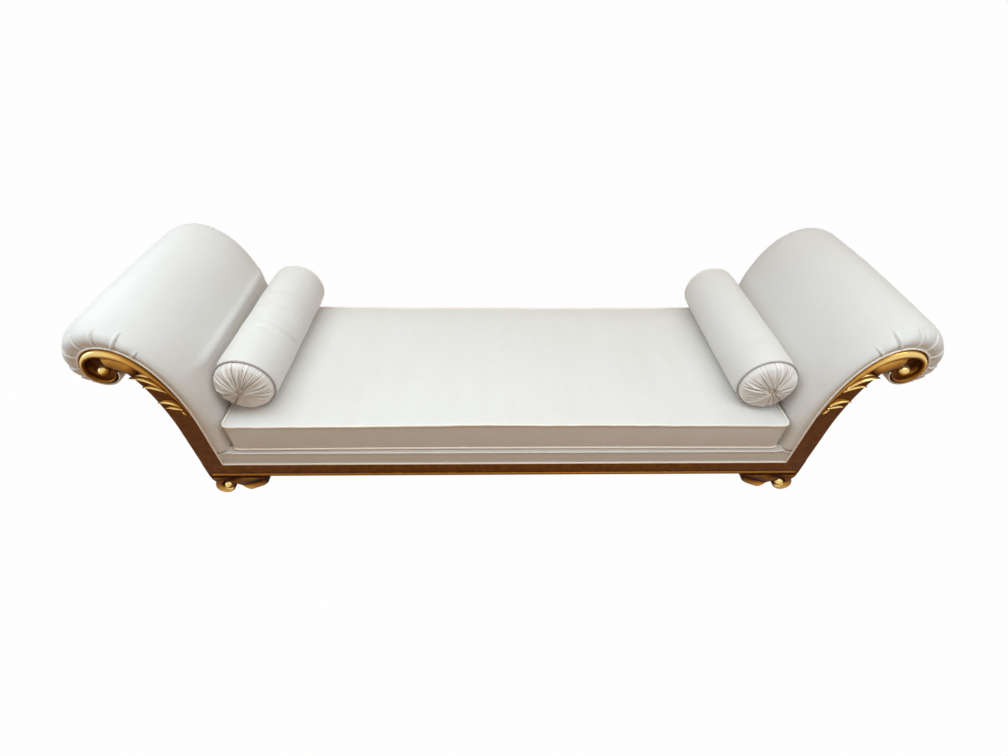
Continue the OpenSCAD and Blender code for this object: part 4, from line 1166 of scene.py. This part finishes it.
def make_cushion():
    low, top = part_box("cushion_bottom_welt")[0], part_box("cushion_top_welt")[1]
    inset = CUSHION_WELT_R
    low = Vector((low.x + inset - 0.002, low.y + inset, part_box("cushion_cover")[0].z + 0.002))
    high = Vector((top.x - inset + 0.002, top.y - inset + 0.004, top.z - inset))
    solid, seams, flat = cushion_mesh(low, high)
    obj = make_piece("seat_cushion", solid, "cushion", silk_along, "cushion_cover")
    held = {i: 0.9 for seam in seams for i in seam}
    held.update({i: 1.0 for i in flat})
    inflate(obj, held)
    shape = coordinates(obj.data)
    for p in shape:
        if p[2] > mix(low.z, high.z, 0.9):
            x, y = p[0], p[1]
            pucker = noise_at(x * 22.0, y * 6.0, 4.2) * PUCKER
            edge = noise_at(x * 3.4, y * 2.0, 8.3) * EDGE_WAVE
            p[2] += noise_at(x * 5.0, y * 9.0, 1.7) * WAVE + (pucker + edge) * bell(abs(y), high.y, 0.05)
    drawn_in_at_zip(shape, low, high)
    set_coordinates(obj.data, shape)
    finer = obj.modifiers.new("finer", "SUBSURF")
    finer.levels = finer.render_levels = 1
    make_zip_coil()
    for seam, rise, name in ((seams[0], 0.001, "cushion_bottom_"), (seams[1], 0.0002, "cushion_top_")):
        line = []
        for before, p, after in neighbours([Vector(shape[i]) for i in seam]):
            way = (after - before).normalized()
            line.append(p + Vector((way.y, -way.x, 0)) * (CUSHION_WELT_R * 0.05) + Vector((0, 0, rise)))
        line = [(before + 2 * p + after) / 4 for before, p, after in neighbours(line)]
        make_piece(name + "piping", tube(line, CUSHION_WELT_R, (0, 0, 1), closed=True), "cushion", piping,
                   name + "welt")


# Bolsters

BOLSTER_WELT_R = 0.0030
BACK_WELT_R = 0.0018
BOLSTER_RIM = 0.0076
DOME = 0.038
# A gathered end's height, as a share of DOME, at each share of the way in from its rim
END_PROFILE = [(0, 0), (0.02, 0.30), (0.1, 0.58), (0.3, 0.84), (0.5, 0.95), (0.7, 1.02), (0.84, 1.0),
               (0.92, 0.90), (1, 0.74)]
GATHERS = 46
GATHER_HEIGHT = 0.0095
BOLSTER_TURN = {"left": radians(1.1), "right": radians(-0.8)}
BACK_EXTRA = {"left": 0.015, "right": 0.011}
FRONT_LESS = 0.006
BUTTON_R = 0.0075
# Share of the button's radius, and height
BUTTON_PROFILE = [(1.0, -0.004), (1.02, 0.001), (0.97, 0.0035), (0.8, 0.0055), (0.5, 0.007),
                  (0.2, 0.0077)]
SHOULDER = 0.022
SHOULDER_DROP = 0.0046
RING_FULL = 0.0005
SWELL, SAG = 0.0004, 0.002
BILLOW = 0.0012
WRINKLE_SHADE = 105
# Wrinkles over each bolster: (angle in degrees, place from front to back) points, height, width
WRINKLES = {
    "left": [([(125, 0.053), (77, 0.052), (54, 0.058), (30, 0.058), (-2, 0.055)], 0.0052, 0.0026),
             ([(72, 0.043), (38, 0.034), (5, 0.014)], 0.0032, 0.0026),
             ([(92, -0.041), (67, -0.047), (53, -0.0515), (35, -0.051), (16, -0.046), (-12, -0.03)],
              0.0060, 0.0028),
             ([(128, -0.095), (105, -0.086), (83, -0.079), (60, -0.075)], 0.0034, 0.0026),
             ([(108, 0.130), (78, 0.130), (50, 0.138)], 0.0009, 0.004)],
    "right": [([(150, -0.16), (110, -0.155), (75, -0.17)], 0.0006, 0.006)]}


def wrinkle_relief(side, turns, y):
    """Ridges over a grid of rows along the bolster and columns round it, and the shade painted beside
    them.
    """
    relief = np.zeros((len(y), len(turns)))
    shade = np.zeros((len(y), len(turns)))
    for line, height, width in WRINKLES[side]:
        points = sorted(line)
        angles = [a for a, _ in points]
        at = np.array([smooth_lookup(turn, points) for turn in turns])
        fade = smooth_step(turns, angles[0], angles[0] + 16)
        fade = fade * (1 - smooth_step(turns, angles[-1] - 16, angles[-1]))
        away = (y[:, None] - at[None, :]) / width
        ridge = np.exp(-np.where(away < 0, away * 0.6, away) ** 2)
        valley = bell(away, 2.0, 1.1)
        relief += height * fade[None, :] * (ridge - 0.7 * valley)
        shade += WRINKLE_SHADE * height * fade[None, :] * valley
    return relief, np.clip(shade, 0, 0.6)


def bolster_body(side, centre, radius, length):
    """The bolster's sewn tube: soft shoulders, a fuller ring behind them and wrinkles on its top."""
    around, steps = 132, 340
    half = length / 2
    turns = np.arange(around) * 360 / around - 90
    y = np.linspace(-half, half, steps + 1)
    near = half - np.abs(y)
    profile = radius - SHOULDER_DROP * np.exp(-(near / SHOULDER) ** 1.2)
    profile += RING_FULL * bell(near, 0.042, 0.016)
    relief, shade = wrinkle_relief(side, turns, y + centre.y)
    a = np.radians(turns)
    swell = SWELL * np.sin(a[None, :] * 2 + y[:, None] * 11) * np.sin(y[:, None] * 23 + 1.3)
    swell += SWELL * np.sin(a[None, :] * 5 - y[:, None] * 37)
    r = profile[:, None] + relief + swell * smooth_step(near, 0, 0.03)[:, None]
    sag = -SAG * np.maximum(0, -np.sin(a)) ** 2
    x = centre.x + r * np.cos(a)
    z = centre.z + (r + sag[None, :]) * np.sin(a)
    rings = [[(x[i, k], centre.y + y[i], z[i, k]) for k in range(around)] for i in range(steps + 1)]
    return loft(rings), list(shade.ravel())


def gathered_end(middle, rim_r, y, sign, seed):
    """A domed end gathered into its middle by many uneven folds, each steep on one side."""
    chance = random.Random(seed)
    folds = [((k + chance.uniform(-0.32, 0.32)) * 2 * pi / GATHERS, chance.uniform(0.45, 1.0),
              chance.uniform(0.8, 1.45), chance.uniform(-0.12, 0.12), chance.choice((-1, 1)))
             for k in range(GATHERS)]
    spokes, rings_count = 900, 42
    turns = np.array(circle(spokes))
    rings = [ring_about(middle, rim_r * 0.98, y - sign * 0.004, spokes)]
    painted_end_shades = [0.0] * spokes
    for i in range(rings_count + 1):
        share = 1 - 0.95 * i / rings_count
        width = 0.0006 + 0.0010 * share
        fold, groove = np.zeros(spokes), np.zeros(spokes)
        for at, strength, reach, curl, lean in folds:
            turn = (turns - at - curl * (1 - share) + pi) % (2 * pi) - pi
            across = turn * share * rim_r * lean
            slope = np.where(across > 0, np.exp(-across / (2.4 * width)), bell(across, 0, 0.7 * width))
            fade = strength * (1 - smooth_step(share, reach * 0.6, reach))
            fold = np.maximum(fold, fade * slope)
            groove = np.maximum(groove, fade * bell(across, -1.6 * width, 0.8 * width))
        ramp = smooth_step(share, 0.05, 0.22) * (1 - 0.3 * share)
        billow = BILLOW * np.sin(turns * 7 + seed) * np.sin(pi * share)
        rise = DOME * smooth_lookup(1 - share, END_PROFILE) + billow
        near_rim = 0.35 + 0.65 * smooth_step(1 - share, 0.0, 0.10)
        rise += GATHER_HEIGHT * ramp * near_rim * (fold - 0.5 * groove)
        # Painted shade in the grooves and at the gathered middle, lighter on the folds' crests
        centre_shade = 0.8 * bell(share, 0, 0.085)
        painted_end_shades += list(np.clip(1.05 * groove + 0.16 - 0.6 * fold + centre_shade, 0, 0.9))
        rings.append(ring_about(middle, rim_r * share, y + sign * rise, spokes))
    return loft(rings), painted_end_shades


def button(middle, y, sign):
    """A small covered button, sunk in the gathers."""
    return loft([ring_about(middle, BUTTON_R * r, y + sign * h, 40) for r, h in BUTTON_PROFILE])


def filling(middle, y, length):
    """The bolster's pillow inside its cover."""
    low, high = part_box("left_bolster_core")
    half, radius = length / 2 - 0.004, (high.x - low.x) / 2
    profile = [(-half, 0.80), (-half + 0.006, 0.92), (-half + 0.02, 0.955), (half - 0.02, 0.955),
               (half - 0.006, 0.92), (half, 0.80)]
    return loft([ring_about(middle, radius * share, y + place, 64) for place, share in profile])


def swung(shape, centre, angle):
    """The solid turned about the upright line through a centre."""
    turned = []
    for p in shape[0]:
        x, y = p[0] - centre.x, p[1] - centre.y
        turned.append((centre.x + cos(angle) * x + sin(angle) * y,
                       centre.y + cos(angle) * y - sin(angle) * x, p[2]))
    return turned, shape[1]


def make_bolster(side):
    """A bolster that lies turned a little inwards at its back, as the photograph shows."""
    low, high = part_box(side + "_bolster_cover")
    low.y, high.y = low.y + FRONT_LESS, high.y + BACK_EXTRA[side]
    centre = (low + high) / 2
    middle = (centre.x, centre.z)
    radius, length = (high.x - low.x) / 2, high.y - low.y
    ends = [(sign, centre.y + sign * length / 2) for sign in (-1, 1)]

    def piece(name, node, shape, look, folds=None):
        return make_piece(side + "_bolster_" + name, swung(shape, centre, BOLSTER_TURN[side]),
                          side + "_bolster", look, side + "_bolster_" + node, folds)

    body, shades = bolster_body(side, centre, radius, length)
    piece("tube", "cover", body, silk_across, shades)
    piece("filling", "core", filling(middle, centre.y, length), felt)
    found = [gathered_end(middle, radius - BOLSTER_RIM, y, sign, 5 + sign + len(side)) for sign, y in ends]
    piece("gathers", "ends", joined([shape for shape, _ in found]), silk_ends_painted_light,
          found[0][1] + found[1][1])
    cords = [tube(ring_about(middle, radius - BOLSTER_RIM / 2, y, 140),
                  BOLSTER_WELT_R if sign < 0 else BACK_WELT_R, (0, 1, 0), closed=True) for sign, y in ends]
    # The front welts take the painted shadow line, the back ones the plain piping
    welt = piece("piping", "welts", joined(cords), shadow_line_piping).data
    welt.materials.append(piping)
    count = len(cords[0][1])
    welt.polygons.foreach_set("material_index", [0] * count + [1] * count)
    knobs = joined([button(middle, y + sign * DOME * 0.8, sign) for sign, y in ends])
    piece("covered_buttons", "buttons", knobs, silk_ends_painted_light)


# Stage, lights and camera

FLOOR_COLOUR = (0.45, 0.26, 0.12)
FLOOR_GLOW = 0.985
HORIZON = (0.05, 0.02, 0.005)
ZENITH = (0.96, 0.88, 0.77)
SKY_POWER = 1.4


def show_white(tree, output, lit, white, glow=1.0):
    """Shows white to the rays that see the backdrop, straight, off gloss or through glass, and the
    lit shader to all others."""
    rays = add(tree, "ShaderNodeLightPath").outputs
    gloss = calc(tree, "MAXIMUM", rays["Is Glossy Ray"], rays["Is Transmission Ray"])
    seen = calc(tree, "MULTIPLY", calc(tree, "MAXIMUM", rays["Is Camera Ray"], gloss), glow)
    both = add(tree, "ShaderNodeMixShader", {0: seen, 1: lit.outputs[0], 2: white.outputs[0]})
    add(tree, output, {"Surface": both.outputs[0]})


def make_stage(size=60.0):
    floor = bpy.data.meshes.new("studio_floor")
    corners = ((-size, -size, 0), (size, -size, 0), (size, size, 0), (-size, size, 0))
    floor.from_pydata(corners, [], [(0, 1, 2, 3)])
    material = bpy.data.materials.new("studio_floor")
    material.use_nodes = True
    tree = material.node_tree
    tree.nodes.clear()
    plain = add(tree, "ShaderNodeBsdfDiffuse", {"Color": (*FLOOR_COLOUR, 1)})
    white = add(tree, "ShaderNodeEmission", {"Strength": 1.0})
    show_white(tree, "ShaderNodeOutputMaterial", plain, white, FLOOR_GLOW)
    floor.materials.append(material)
    shown("studio_floor", floor)


def make_world():
    world = bpy.data.worlds.new("studio")
    bpy.context.scene.world = world
    world.use_nodes = True
    tree = world.node_tree
    tree.nodes.clear()
    place = add(tree, "ShaderNodeTexCoord").outputs["Generated"]
    up = add(tree, "ShaderNodeSeparateXYZ", {0: place}).outputs["Z"]
    high = calc(tree, "POWER", calc(tree, "MAXIMUM", up, 0.0), SKY_POWER)
    lit = add(tree, "ShaderNodeBackground", {"Color": colour_between(tree, high, HORIZON, ZENITH)})
    white = add(tree, "ShaderNodeBackground", {"Color": (1, 1, 1, 1)})
    show_white(tree, "ShaderNodeOutputWorld", lit, white)


def area_light(name, place, target, size, power, colour):
    light = bpy.data.lights.new(name, "AREA")
    light.shape = "RECTANGLE"
    light.size, light.size_y = size
    light.energy = power
    light.color = colour
    obj = shown(name, light)
    obj.location = place
    obj.rotation_euler = (Vector(target) - Vector(place)).to_track_quat("-Z", "Y").to_euler()


def make_lights():
    area_light("ceiling_light", (-0.08, -0.48, 1.95), (-0.06, -0.42, 0.3), (3.8, 0.6), 26.5,
               (0.72, 0.88, 1.0))
    area_light("left_window", (-3.2, -0.7, 1.35), (-1.1, -0.25, 0.6), (1.3, 1.3), 16,
               (0.64, 0.84, 1.0))


def make_camera():
    forward = Vector((sin(CAMERA_YAW) * cos(CAMERA_PITCH), cos(CAMERA_YAW) * cos(CAMERA_PITCH),
                      -sin(CAMERA_PITCH)))
    level = Vector((cos(CAMERA_YAW), -sin(CAMERA_YAW), 0))
    upright = level.cross(forward)
    right = cos(CAMERA_ROLL) * level + sin(CAMERA_ROLL) * upright
    up = cos(CAMERA_ROLL) * upright - sin(CAMERA_ROLL) * level
    data = bpy.data.cameras.new("camera")
    data.lens = CAMERA_LENS
    data.sensor_width = 36
    data.clip_start = 0.05
    obj = shown("camera", data)
    turn = Matrix((right, up, -forward)).transposed().to_4x4()
    obj.matrix_world = Matrix.Translation(CAMERA_PLACE) @ turn
    bpy.context.scene.camera = obj


make_camera()
make_stage()
make_world()
make_lights()
make_stiles()
make_rails()
make_feet()
make_arms()
make_show_welts()
make_bands()
make_cushion()
make_bolster("left")
make_bolster("right")

bpy.context.scene.view_settings.view_transform = "Standard"
